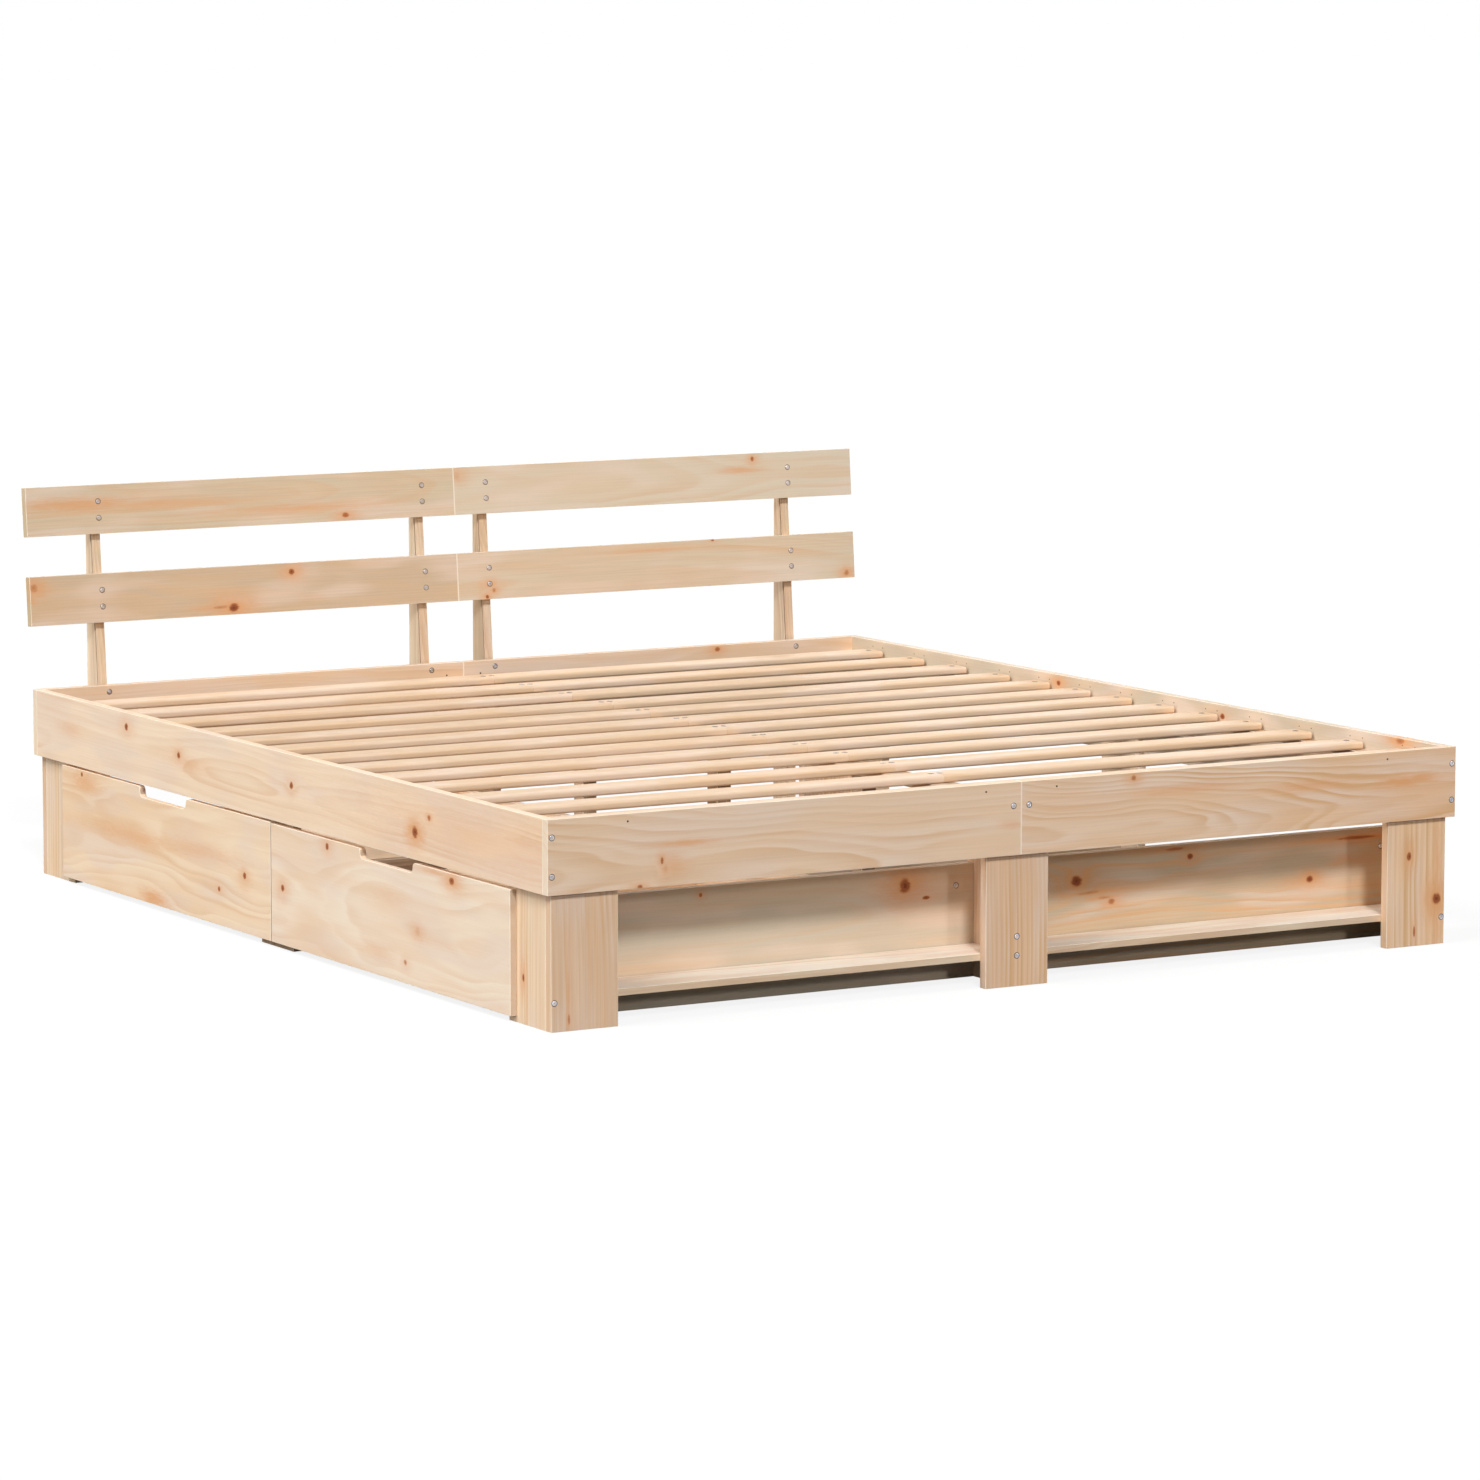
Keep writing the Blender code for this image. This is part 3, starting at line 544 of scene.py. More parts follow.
def pine(name, early=CREAM, late=TAN, contrast=0.5, ring_width=0.0075, pith=(0.0, 0.045), slant=0.02,
         wander=0.006, variety=1.0, warmth=0.3, streak=0.05, ends=PALE_END, shaded_sides=None, knots=()):
    """Planed pine. Pith is its place beside and under the face.

    A knot is (along, across, radius, dark, stain, stretch), in metres from the board's middle.
    Shaded sides is a tone multiplied onto the long sides as painted shade, darker than the face.
    """
    finish, tree, shader = new_finish(name)
    seed = marked(tree, "seed")
    spot = {"Point": marked(tree, "wood", "Vector"), "Heart": 0.0, "Halo": 0.0}
    for along, across, radius, dark, stain, stretch in knots:
        spot = placed(tree, KNOT, spot | {"Centre": (along, across, 0), "Radius": radius, "Dark": dark,
                                          "Stain": stain, "Stretch": stretch})
    board = {"Point": spot.pop("Point"), "Seed": seed}
    rings = placed(tree, RINGS, board | {"Pith Side": pith[0], "Pith Depth": pith[1], "Slant": slant,
                                         "Ring Width": ring_width, "Wander": wander, "Variety": variety})
    face = placed(tree, FACE, rings | placed(tree, FIBRE, board) | spot | {
        "Early Colour": early, "Late Colour": late, "Contrast": contrast, "Warmth": warmth, "Streak": streak,
        "Edge": marked(tree, "edge"), "End": marked(tree, "end"), "End Colour": ends})
    colour = face["Color"]
    # Painted shade: the long sides are darkened.
    if shaded_sides:
        colour = mixed(marked(tree, "side"), colour, mixed(0.8, colour, shaded_sides, "MULTIPLY"))
    feed(shader["Base Color"], colour)
    feed(shader["Roughness"], face["Roughness"])
    raise_grain(shader, face["Relief"], 0.35, 0.0004)
    feed(shader["Specular IOR Level"], 0.06)
    return finish


PLY_CORE = (0.0009, 0.0012)


def plywood(name, face_colour, core_colour):
    """Thin plywood: a wide peeled figure on the face and a darker core on the edge."""
    finish, tree, shader = new_finish(name)
    board = {"Point": marked(tree, "wood", "Vector"), "Seed": marked(tree, "seed")}
    rings = placed(tree, RINGS, board | {"Pith Side": 0.02, "Pith Depth": 0.05, "Slant": 0.02,
                                         "Ring Width": 0.012, "Wander": 0.022, "Variety": 1.0})
    face = placed(tree, FACE, rings | placed(tree, FIBRE, board) | {
        "Early Colour": face_colour, "Late Colour": (0.66, 0.42, 0.22), "Contrast": 0.5,
        "Edge": marked(tree, "edge"), "End": marked(tree, "end")})
    core = smooth_step(calc("ABSOLUTE", apart(board["Point"])[2]), *PLY_CORE, 0.8, 0.0)
    feed(shader["Base Color"], mixed(core, face["Color"], core_colour))
    feed(shader["Roughness"], face["Roughness"])
    raise_grain(shader, face["Relief"], 0.3, 0.0004)
    return finish


def crushed_wood_and_shade(name, dark, light):
    """Dark torn fibres where a screw or a drill went in, darkened further as painted shade of the hole."""
    finish, tree, shader = new_finish(name)
    torn = cloud(source(tree, "TexCoord", "Object"), 900.0, 2.0)[0]
    feed(shader["Base Color"], mixed(smooth_step(torn, 0.35, 0.7), dark, light))
    feed(shader["Roughness"], torn * 0.2 + 0.7)
    raise_grain(shader, torn, 0.4, 0.0002)
    feed(shader["Specular IOR Level"], 0.1)
    return finish


# ---------- steel and plastic ----------

def worn_metal():
    """Fine scratches and a mottled plating on steel."""
    group, given, result = group_of("worn_metal", {"Scale": 1.0}, {"Mottle": "Float", "Scratches": "Float"})
    x, y, z = [place * given["Scale"] for place in apart(source(group, "TexCoord", "Object"))]
    mottle = cloud(together(x, y, z), 90.0, 3.0)[0]
    lines = cloud(together(x * 300.0, y * 2600.0, z * 900.0), 1.0, 2.0)[0]
    feed(result["Mottle"], smooth_step(mottle, 0.35, 0.68))
    feed(result["Scratches"], smooth_step(lines, 0.52, 0.70))
    return group


WORN = worn_metal()


def steel(name, bright, dull, roughness):
    """Zinc-plated steel with a mottled plating."""
    finish, tree, shader = new_finish(name)
    wear = placed(tree, WORN, {"Scale": 1.0})
    feed(shader["Base Color"], mixed(wear["Mottle"], bright, dull))
    feed(shader["Roughness"], wear["Scratches"] * 0.18 + roughness)
    feed(shader["Metallic"], 1.0)
    raise_grain(shader, wear["Scratches"], 0.25, 0.0001)
    return finish


def moulded_plastic(name, colour, dusty):
    """Dark moulded plastic with a fine grain and floor dust on its tread."""
    finish, tree, shader = new_finish(name)
    place = source(tree, "TexCoord", "Object")
    dust = smooth_step(cloud(place, 120.0, 3.0)[0], 0.45, 0.75, 0.0, 0.6)
    feed(shader["Base Color"], mixed(dust, colour, dusty))
    feed(shader["Roughness"], dust * 0.4 + 0.36)
    raise_grain(shader, cloud(place, 1400.0, 2.0)[0], 0.3, 0.0002)
    return finish


# ---------- finishes ----------

# Each board that shows a figure of its own has its own look, with its knots and resin stains.
FIGURES = {
    "side_rail_left": dict(
        early=(0.96, 0.762, 0.568), contrast=0.5, ring_width=0.011, warmth=0.16, slant=0.012, knots=(
            (0.604, 0.037, 0.0066, 0.9, 0.45, 1.0), (0.378, 0.009, 0.006, 0.8, 0.6, 1.0),
            (0.345, -0.001, 0.007, 0.0, 0.5, 4.5), (-0.085, 0.008, 0.0068, 0.75, 0.35, 1.0),
            (-0.557, -0.016, 0.0095, 0.85, 0.95, 1.0), (-0.609, 0.015, 0.0052, 0.4, 0.7, 1.2),
            (0.855, 0.005, 0.008, 0.0, 0.38, 2.2), (-0.953, 0.015, 0.005, 0.0, 0.55, 9.0),
            (-0.96, -0.012, 0.0045, 0.0, 0.5, 9.0), (-0.8, 0.0, 0.03, 0.0, 0.4, 6.0))),
    "side_rail_right": dict(
        early=(0.645, 0.555, 0.43), contrast=0.36, warmth=0.14, knots=(
            (0.235, 0.047, 0.005, 0.8, 0.9, 1.3), (-0.325, 0.042, 0.005, 0.95, 0.4, 1.4),
            (-0.884, 0.058, 0.006, 0.35, 1.0, 2.2))),
    "foot_rail_left": dict(
        early=(0.865, 0.655, 0.48), contrast=0.82, ring_width=0.012, slant=0.035, wander=0.011, warmth=0.16,
        pith=(-0.03, 0.05), knots=(
            (-0.247, -0.02, 0.006, 0.5, 0.75, 0.5), (-0.24, -0.034, 0.008, 0.1, 0.75, 0.55),
            (-0.23, -0.028, 0.011, 0.0, 0.6, 0.9), (-0.2, 0.006, 0.0038, 0.0, 0.7, 5.0),
            (-0.289, -0.061, 0.0036, 0.6, 0.7, 1.4), (0.447, -0.009, 0.0048, 0.0, 0.45, 2.0))),
    "foot_rail_right": dict(
        early=(0.85, 0.624, 0.45), contrast=1.3, ring_width=0.0085, slant=0.05, wander=0.009, warmth=0.42,
        streak=0.07, pith=(0.01, 0.03), knots=(
            (-0.232, 0.054, 0.0052, 0.35, 0.8, 1.0), (0.341, 0.008, 0.0075, 0.0, 1.0, 2.6),
            (0.387, 0.012, 0.0055, 0.0, 0.95, 3.0), (0.144, 0.014, 0.0065, 0.0, 0.7, 5.5),
            (-0.12, 0.028, 0.005, 0.0, 0.6, 8.0), (0.42, -0.01, 0.03, 0.0, 0.3, 3.4))),
    "head_rail_right": dict(
        early=(0.846, 0.621, 0.44), contrast=0.4, knots=(
            (0.123, 0.055, 0.005, 0.5, 0.8, 1.2),)),
    "foot_shelf_back_left": dict(
        early=(0.665, 0.575, 0.452), contrast=0.34, ring_width=0.01, warmth=0.25, knots=(
            (0.303, 0.07, 0.0125, 0.8, 0.95, 0.85), (0.346, 0.047, 0.0035, 0.7, 0.5, 2.2),
            (-0.105, 0.086, 0.004, 0.5, 0.5, 0.8))),
    "foot_shelf_back_right": dict(
        early=(0.615, 0.496, 0.352), contrast=1.05, ring_width=0.0085, slant=0.04, wander=0.009, warmth=0.3,
        streak=0.07, knots=(
            (-0.248, 0.051, 0.009, 0.95, 0.8, 1.2), (-0.222, 0.03, 0.003, 0.22, 0.9, 8.0),
            (-0.19, 0.018, 0.0026, 0.2, 0.9, 6.0), (-0.174, 0.01, 0.0058, 0.35, 0.8, 1.2),
            (-0.007, 0.077, 0.005, 0.9, 0.7, 1.2), (0.254, 0.016, 0.0058, 0.95, 0.9, 1.2),
            (0.235, 0.014, 0.008, 0.0, 0.6, 2.6), (0.355, 0.084, 0.0032, 0.45, 0.9, 14.0),
            # The stain at 0.364 lies where the right leg's shadow falls and stands partly for that shade: a
            # painted shade.
            (0.364, 0.042, 0.0085, 0.0, 0.35, 3.0), (-0.039, 0.092, 0.0028, 0.35, 0.8, 8.0))),
    "leg_foot_right": dict(
        early=(0.9, 0.622, 0.4), contrast=1.1, ring_width=0.012, pith=(0.14, 0.02), slant=0.03,
        wander=0.005, variety=0.3, streak=0.09, knots=(
            (0.019, -0.016, 0.005, 0.8, 0.7, 1.5), (-0.062, 0.046, 0.0088, 0.9, 1.0, 1.1),
            (-0.05, 0.046, 0.005, 0.0, 0.7, 9.0), (-0.118, -0.002, 0.0026, 0.5, 0.5, 4.0))),
    "leg_foot_left": dict(
        early=(0.77, 0.547, 0.383), contrast=0.85, ring_width=0.012, pith=(0.14, 0.02), slant=0.02,
        wander=0.004, variety=0.3, streak=0.1, knots=(
            (-0.125, -0.03, 0.0026, 0.3, 0.5, 4.0), (-0.085, -0.03, 0.0022, 0.0, 0.55, 14.0))),
    "leg_side_foot_left": dict(
        early=(0.9, 0.7, 0.495), contrast=0.8, ring_width=0.011, pith=(0.13, 0.02), slant=0.02,
        wander=0.004, variety=0.4, streak=0.09, knots=(
            (-0.066, 0.014, 0.0036, 0.75, 0.8, 1.8), (-0.1, 0.003, 0.003, 0.0, 0.4, 12.0))),
    "drawer_head_front": dict(
        early=(0.94, 0.74, 0.53), contrast=0.46, ends=BROWN_END, ring_width=0.019, slant=0.045, wander=0.02,
        warmth=0.42, pith=(0.03, 0.05), variety=0.0, streak=0.03, knots=(
            (0.357, 0.099, 0.0046, 0.7, 0.6, 1.0), (0.345, 0.086, 0.011, 0.0, 0.75, 2.2),
            (0.12, 0.01, 0.0085, 0.0, 0.56, 8.0), (-0.15, 0.018, 0.008, 0.0, 0.46, 8.0),
            (0.046, -0.097, 0.009, 0.0, 0.95, 2.4), (-0.342, -0.003, 0.006, 0.75, 0.6, 1.0),
            (-0.341, -0.018, 0.0085, 0.0, 0.4, 1.4), (-0.236, -0.041, 0.0048, 0.6, 0.35, 1.0))),
    "drawer_foot_front": dict(
        early=(0.94, 0.785, 0.62), contrast=0.34, ends=BROWN_END, ring_width=0.022, slant=0.04, wander=0.02,
        warmth=0.3, pith=(-0.02, 0.05), variety=0.0, streak=0.03, knots=(
            (0.225, 0.093, 0.0058, 0.75, 0.5, 1.0), (0.402, -0.004, 0.006, 0.75, 0.6, 1.0),
            (0.403, -0.02, 0.008, 0.0, 0.4, 1.4), (-0.241, 0.094, 0.0062, 0.75, 0.9, 1.4),
            (-0.185, 0.101, 0.0032, 0.0, 0.7, 8.0), (-0.116, -0.01, 0.008, 0.12, 0.55, 1.2),
            (-0.07, -0.07, 0.0055, 0.32, 0.4, 1.1), (0.03, -0.066, 0.008, 0.0, 0.38, 3.0),
            (-0.007, 0.036, 0.01, 0.0, 0.28, 2.0))),
    "headboard_upper_left": dict(
        early=(0.705, 0.59, 0.43), contrast=0.62, ends=TAN_END, ring_width=0.0065, slant=0.03, wander=0.006,
        warmth=0.22, streak=0.08, pith=(0.02, 0.035), knots=(
            (-0.357, 0.01, 0.0078, 0.0, 0.85, 6.0), (-0.17, 0.006, 0.0058, 0.0, 0.5, 12.0),
            (0.11, -0.018, 0.005, 0.0, 0.6, 12.0), (0.22, -0.036, 0.005, 0.5, 0.8, 1.6))),
    "headboard_upper_right": dict(
        early=(0.765, 0.655, 0.505), contrast=0.4, ring_width=0.01, warmth=0.12, ends=TAN_END, knots=(
            (0.229, 0.036, 0.005, 0.5, 0.75, 0.8), (0.2, 0.014, 0.0038, 0.0, 0.75, 5.0),
            (-0.457, 0.03, 0.009, 0.1, 0.6, 1.0))),
    "headboard_lower_left": dict(
        early=(0.662, 0.5, 0.343), contrast=0.58, ring_width=0.0075, slant=0.03, warmth=0.2, ends=TAN_END,
        streak=0.08, knots=(
            (0.096, 0.03, 0.0058, 0.8, 0.8, 1.0), (-0.033, -0.034, 0.0078, 0.95, 0.9, 1.3),
            (-0.062, -0.032, 0.003, 0.25, 0.7, 6.0), (-0.456, 0.026, 0.0095, 0.25, 0.9, 0.9),
            (-0.466, 0.004, 0.0055, 0.0, 0.8, 1.2))),
    "headboard_lower_right": dict(
        early=(0.73, 0.6, 0.445), contrast=0.56, ring_width=0.0085, slant=0.03, warmth=0.16, ends=TAN_END,
        streak=0.07, knots=(
            (-0.392, -0.018, 0.005, 0.35, 0.85, 1.2), (-0.383, -0.03, 0.0045, 0.3, 0.8, 1.0),
            (-0.399, -0.042, 0.004, 0.75, 0.8, 0.9), (0.127, 0.046, 0.0028, 0.8, 0.4, 1.4),
            (0.444, -0.037, 0.006, 0.3, 0.9, 1.0), (-0.012, 0.032, 0.0026, 0.0, 0.6, 14.0))),
}
BOARDS = {node: pine(node + "_pine", **figure) for node, figure in FIGURES.items()}
rail_pine = pine("rail_pine", (0.85, 0.63, 0.45), contrast=0.40)
leg_pine = pine("leg_pine", (0.785, 0.55, 0.386), contrast=1.4, ring_width=0.010, pith=(0.12, 0.02),
                slant=0.02, wander=0.004, variety=0.5, streak=0.09)
leg_side_pine = pine("leg_side_pine", (0.90, 0.70, 0.495), contrast=0.60, ring_width=0.011, pith=(0.13, 0.02),
                     slant=0.02, wander=0.004, variety=0.4, streak=0.08)
# The support wood is darkened as painted shade: beam, posts, ledgers, cross boards and the left middle leg
# stand in shade under the slats and drawers.
support_pine = pine("support_pine", (0.40, 0.28, 0.18), (0.27, 0.16, 0.085), contrast=0.5, ring_width=0.006)
slat_pine = pine("slat_pine", (0.76, 0.566, 0.391), contrast=0.34, ring_width=0.007, pith=(0.0, 0.04),
                 wander=0.006, warmth=0.22, streak=0.05)
# The shelf's pale tone and its darker sides stand in for light on its top and shade on its front edge:
# painted light and shade.
shelf_pine = pine("shelf_pine", (0.985, 0.93, 0.83), contrast=0.40, warmth=0.25, shaded_sides=(0.74, 0.60, 0.45))
# The posts' front and back edges are darkened as painted shade.
post_pine = pine("post_pine", (0.98, 0.80, 0.585), contrast=0.75, ring_width=0.007, pith=(0.05, 0.03),
                 streak=0.09, shaded_sides=(0.83, 0.79, 0.76))
# The posts' groove core is painted near black as shade in the gap.
painted_shade_groove_pine = pine("post_groove_pine", (0.20, 0.13, 0.08), (0.12, 0.07, 0.04), contrast=0.5, ring_width=0.006)
drawer_pine = pine("drawer_pine", contrast=0.4, ring_width=0.009, ends=BROWN_END)
bottom_plywood = plywood("bottom_plywood", (0.80, 0.62, 0.42), (0.50, 0.30, 0.16))
screw_steel = steel("screw_steel", (0.66, 0.66, 0.70), (0.38, 0.38, 0.42), 0.24)
warm_steel = steel("headboard_screw_steel", (0.62, 0.56, 0.53), (0.42, 0.35, 0.32), 0.34)
sunk_steel = steel("sunk_screw_steel", (0.46, 0.38, 0.33), (0.22, 0.17, 0.14), 0.5)
fork_steel = steel("fork_steel", (0.62, 0.63, 0.65), (0.42, 0.43, 0.45), 0.38)
wheel_plastic = moulded_plastic("wheel_plastic", (0.022, 0.022, 0.024), (0.16, 0.15, 0.13))
torn_wood_and_shade = crushed_wood_and_shade("torn_wood_and_shade", (0.075, 0.042, 0.030), (0.19, 0.11, 0.070))


# ---------- the box frame ----------

def box_solid(node, sunk=0.0):
    """A node's own box as a solid. Halves that meet in the middle of the bed close up to a hairline.

    Sunk leaves room for screw heads on its foot face (below zero) or its head face.
    """
    low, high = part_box(node)
    low.y, high.y = low.y - min(sunk, 0), high.y - max(sunk, 0)
    ends = [place if abs(place) > 2 * SEAT_GAP else math.copysign(HAIRLINE, place)
            for place in (low.x, high.x)]
    return blocks([(ends, (low.y, high.y), (low.z, high.z))])


def build_rails():
    for side, side_name in SIDES:
        for end, end_name in ENDS:
            node = f"{end_name}_rail_{side_name}"
            wooden(node + "_board", box_solid(node, end * HEAD_RISE), X, Z, BOARDS.get(node, rail_pine),
                   [node], seam=True)
        node = f"side_rail_{side_name}"
        wooden(node + "_board", box_solid(node), Y, Z, BOARDS[node], [node])


def leg_board(node, spans):
    """A leg board with a shoulder for the rail. Spans gives its X and Y for how far in its face lies."""
    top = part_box(node)[1].z
    return blocks([(*spans(LEG_INSET), (0, SHOULDER_Z)), (*spans(RAIL_BACK), (SHOULDER_Z, top))])


def build_corner_legs():
    for (end, end_name), (side, side_name) in product(ENDS, SIDES):
        node = f"leg_{end_name}_{side_name}"
        inner = side_x(side, LEG_INSET + LEG_WIDTH + (HEAD_LEG_FIT if end == HEAD else 0))
        end_board = leg_board(node, lambda face: ((side_x(side, face), inner),
                                                  (end_y(end, face), end_y(end, LEG_BACK))))
        wooden(f"leg_end_board_{end_name}_{side_name}", end_board, Z, X, BOARDS.get(node, leg_pine),
               [node])
        along_side = (end_y(end, LEG_BACK + SEAT_GAP / 2), end_y(end, LEG_REACH))
        side_board = leg_board(node, lambda face: ((side_x(side, face), side_x(side, LEG_BACK)), along_side))
        wooden(f"leg_side_board_{end_name}_{side_name}", side_board, Z, Y,
               BOARDS.get(f"leg_side_{end_name}_{side_name}", leg_side_pine), [node])


def build_middle_legs():
    half = LEG_WIDTH / 2
    for end, end_name in ENDS:
        node = f"leg_{end_name}_centre"
        face_board = leg_board(node, lambda face: ((-half, half), (end_y(end, face), end_y(end, LEG_BACK))))
        wooden(f"leg_face_board_{end_name}", face_board, Z, X, leg_pine, [node])
        web = blocks([((-BOARD / 2, BOARD / 2), (end_y(end, LEG_BACK + SEAT_GAP / 2), end_y(end, LEG_REACH)),
                       (0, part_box(node)[1].z))])
        wooden(f"leg_web_board_{end_name}", web, Z, Y, leg_pine, [node])
    for side, side_name in SIDES:
        node = f"leg_middle_{side_name}"
        solid = leg_board(node, lambda face: ((side_x(side, face), side_x(side, LEG_BACK)),
                                              (MIDDLE_Y - half, MIDDLE_Y + half)))
        # The left middle leg stands in the drawers' shade and takes the darkened support wood, a painted
        # shade.
        finish = support_pine if side == LEFT else leg_side_pine
        wooden(node + "_board", solid, Z, Y, finish, [node])


CENTRE_POST_HALVES = (0.015, 0.018)
OUTER_POST_IN = 0.516


def build_supports():
    # The supports take the darkened support wood, a painted shade.
    for _, side_name in SIDES:
        for kind, shape, along in (("slat_ledger", "batten", Y), ("cross_board", "plank", X)):
            node = f"{kind}_{side_name}"
            wooden(f"{node}_{shape}", box_solid(node), along, Z, support_pine, [node])
    low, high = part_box("centre_support")
    beam_bottom = high.z - BEAM
    beam = rounded_bar((low.x, low.y, beam_bottom), high, 1, SLAT_ROUND)
    wooden("centre_beam", beam, Y, X, support_pine, ["centre_support"], ease=0)
    half_x, half_y = CENTRE_POST_HALVES
    for name, y in (("foot", FOOT_Y + OUTER_POST_IN), ("middle", MIDDLE_Y), ("head", HEAD_Y - OUTER_POST_IN)):
        post = blocks([((-half_x, half_x), (y - half_y, y + half_y), (0, beam_bottom))])
        wooden(f"centre_post_{name}", post, Z, Y, support_pine, ["centre_support"])


SLAT_ROWS = [f"slat_row_{row:02d}" for row in range(1, 14)]


def build_slats():
    for node in SLAT_ROWS:
        low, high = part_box(node)
        for side, side_name in SIDES:
            ends = sorted((side * SEAT_GAP / 2, side * high.x))
            bar = rounded_bar((ends[0], low.y, low.z), (ends[1], high.y, high.z), 0, SLAT_ROUND)
            wooden(f"slat_{node[-2:]}_{side_name}", bar, X, Y, slat_pine, [node], ease=0)


def build_shelf():
    for _, side_name in SIDES:
        node = f"foot_shelf_{side_name}"
        low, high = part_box(node)
        shelf = blocks([((low.x, high.x), (low.y, high.y - SHELF_GAP), (low.z, high.z))])
        wooden(node + "_board", shelf, X, Y, shelf_pine, [node])
        node = f"foot_shelf_back_{side_name}"
        wooden(node + "_board", box_solid(node), X, Z, BOARDS[node], [node])


# ---------- the headboard ----------

LEAN = math.radians(4.95)
LEANING = Vector((0, math.sin(LEAN), math.cos(LEAN)))
LEAN_START_Z = 0.260
HEADBOARD_HEIGHT = 0.095
POST_GROOVE, POST_GROOVE_DEPTH = (0.0014, 0.0064), 0.003
POSTS = [f"headboard_post_{index}" for index in range(1, 5)]


def post_front_y(height):
    """Y of the leaning front edge of a headboard post at a height."""
    return HEAD_Y + SEAT_GAP + max(0, height - LEAN_START_Z) * math.tan(LEAN)


def post_layer(low, high, front, back, inset):
    """A post between two depths behind its leaning front edge. No back goes all through."""
    edge = [(low.y, low.z), (low.y, LEAN_START_Z), (post_front_y(high.z), high.z)]
    outline = [(place + front, height) for place, height in edge]
    if back is None:
        outline += [(high.y, high.z), (high.y, low.z)]
    else:
        outline += [(place + back, height) for place, height in reversed(edge)]
    return prism(outline, 0, (low.x + inset, high.x - inset))


def build_headboard():
    front, back = POST_GROOVE
    for node in POSTS:
        low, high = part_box(node)
        layers = merged([post_layer(low, high, 0, front, 0), post_layer(low, high, back, None, 0)])
        wooden(node + "_board", layers, Z, Y, post_pine, [node], ease=0.0003)
        # The groove's core is painted shade, coloured near black.
        core = post_layer(low, high, front, back, POST_GROOVE_DEPTH)
        wooden(node + "_core", core, Z, Y, painted_shade_groove_pine, [node], ease=0)
    outward = Vector((-math.cos(LEAN), math.sin(LEAN)))
    upward = Vector((math.sin(LEAN), math.cos(LEAN)))
    for row_name, (side, side_name) in product(("upper", "lower"), SIDES):
        node = f"headboard_{row_name}_{side_name}"
        low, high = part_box(node)
        bottom_z = high.z - HEADBOARD_HEIGHT * math.cos(LEAN) - BOARD * math.sin(LEAN)
        back_low = Vector((post_front_y(bottom_z), bottom_z)) + outward * SEAT_GAP
        back_high = back_low + upward * HEADBOARD_HEIGHT
        outline = [back_low, back_high, back_high + outward * BOARD, back_low + outward * BOARD]
        span = (low.x, -HAIRLINE) if side == LEFT else (HAIRLINE, high.x)
        wooden(node + "_board", prism(outline, 0, span), X, LEANING, BOARDS[node], [node],
               seam=True)


# ---------- drawers ----------

NOTCH_WIDTH, NOTCH_DEPTH, NOTCH_ROUND = 0.1965, 0.020, 0.010
FRONT_DROPS = {"drawer_foot_front": 0.0016, "drawer_head_front": 0.0}
GROOVE_UP, GROOVE_DEPTH, PANEL_FIT, PANEL = 0.012, 0.007, 0.0003, 0.006
WHEEL_RADIUS, WHEEL_WIDTH, AXLE_RADIUS, TREAD_ROUND = 0.016, 0.014, 0.002, 0.003
FORK_METAL, FORK_PLAY, FORK_EYE, FORK_EASE = 0.002, 0.0015, 0.006, 0.0004
PLATE_HALF, PLATE_LIP, CHEEK_HALF, RIVET_RISE = 0.021, 0.008, 0.014, 0.0005
HUB_RADIUS, HUB_PROUD, FLANK_RADII, FLANK_SUNK = 0.0060, 0.001, (0.0068, 0.0108), 0.002
RIM_EASE = ((0.0006, 0.0004), (0.0010, 0.0))


def drawer_front(node):
    """A front with a round-cornered finger cut-out in its top edge."""
    low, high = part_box(node)
    middle = (low.y + high.y) / 2
    near, far = middle - NOTCH_WIDTH / 2, middle + NOTCH_WIDTH / 2
    top, lip_round = high.z - FRONT_DROPS[node], NOTCH_ROUND - FRONT_DROPS[node]
    lip, floor = top - lip_round, high.z - NOTCH_DEPTH + NOTCH_ROUND
    outline = [(low.y, low.z), (high.y, low.z), (high.y, top)]
    outline += arc((far + lip_round, lip), lip_round, 90, 180, 8)
    outline += arc((far - NOTCH_ROUND, floor), NOTCH_ROUND, 0, -90, 8)[1:]
    outline += arc((near + NOTCH_ROUND, floor), NOTCH_ROUND, -90, -180, 8)
    outline += arc((near - lip_round, lip), lip_round, 0, 90, 8)[1:]
    outline.append((low.y, top))
    return prism(outline, 0, (low.x, high.x))


def castor_fork(axle, plate_top):
    """A bent steel fork: screw plate, two cheeks with round eyes, and the axle pin."""
    inner = WHEEL_WIDTH / 2 + FORK_PLAY
    outer = inner + FORK_METAL
    plate_bottom, reach_y = plate_top - FORK_METAL, outer + PLATE_LIP
    parts = [blocks([((axle.x - PLATE_HALF, axle.x + PLATE_HALF), (axle.y - reach_y, axle.y + reach_y),
                      (plate_bottom, plate_top))])]
    for toward in (-1, 1):
        outline = [(axle.x + CHEEK_HALF, plate_bottom), (axle.x - CHEEK_HALF, plate_bottom)]
        outline += arc((axle.x, axle.z), FORK_EYE, 190, 350, 12)
        parts.append(prism(outline, 1, sorted((axle.y + toward * inner, axle.y + toward * outer))))
    for solid in parts:
        corners = [edge for edge in solid.edges if edge.calc_face_angle_signed() > SHARP]
        bmesh.ops.bevel(solid, geom=corners, offset=FORK_EASE, offset_type="OFFSET", segments=2, profile=0.5,
                        affect="EDGES", clamp_overlap=True)
    tip, rivet = outer + RIVET_RISE, AXLE_RADIUS * 1.5
    half_pin = [(AXLE_RADIUS, outer), (rivet, outer), (rivet, tip), (0, tip)]
    parts.append(turned(mirrored(half_pin), Y, axle, 24))
    return merged(parts)


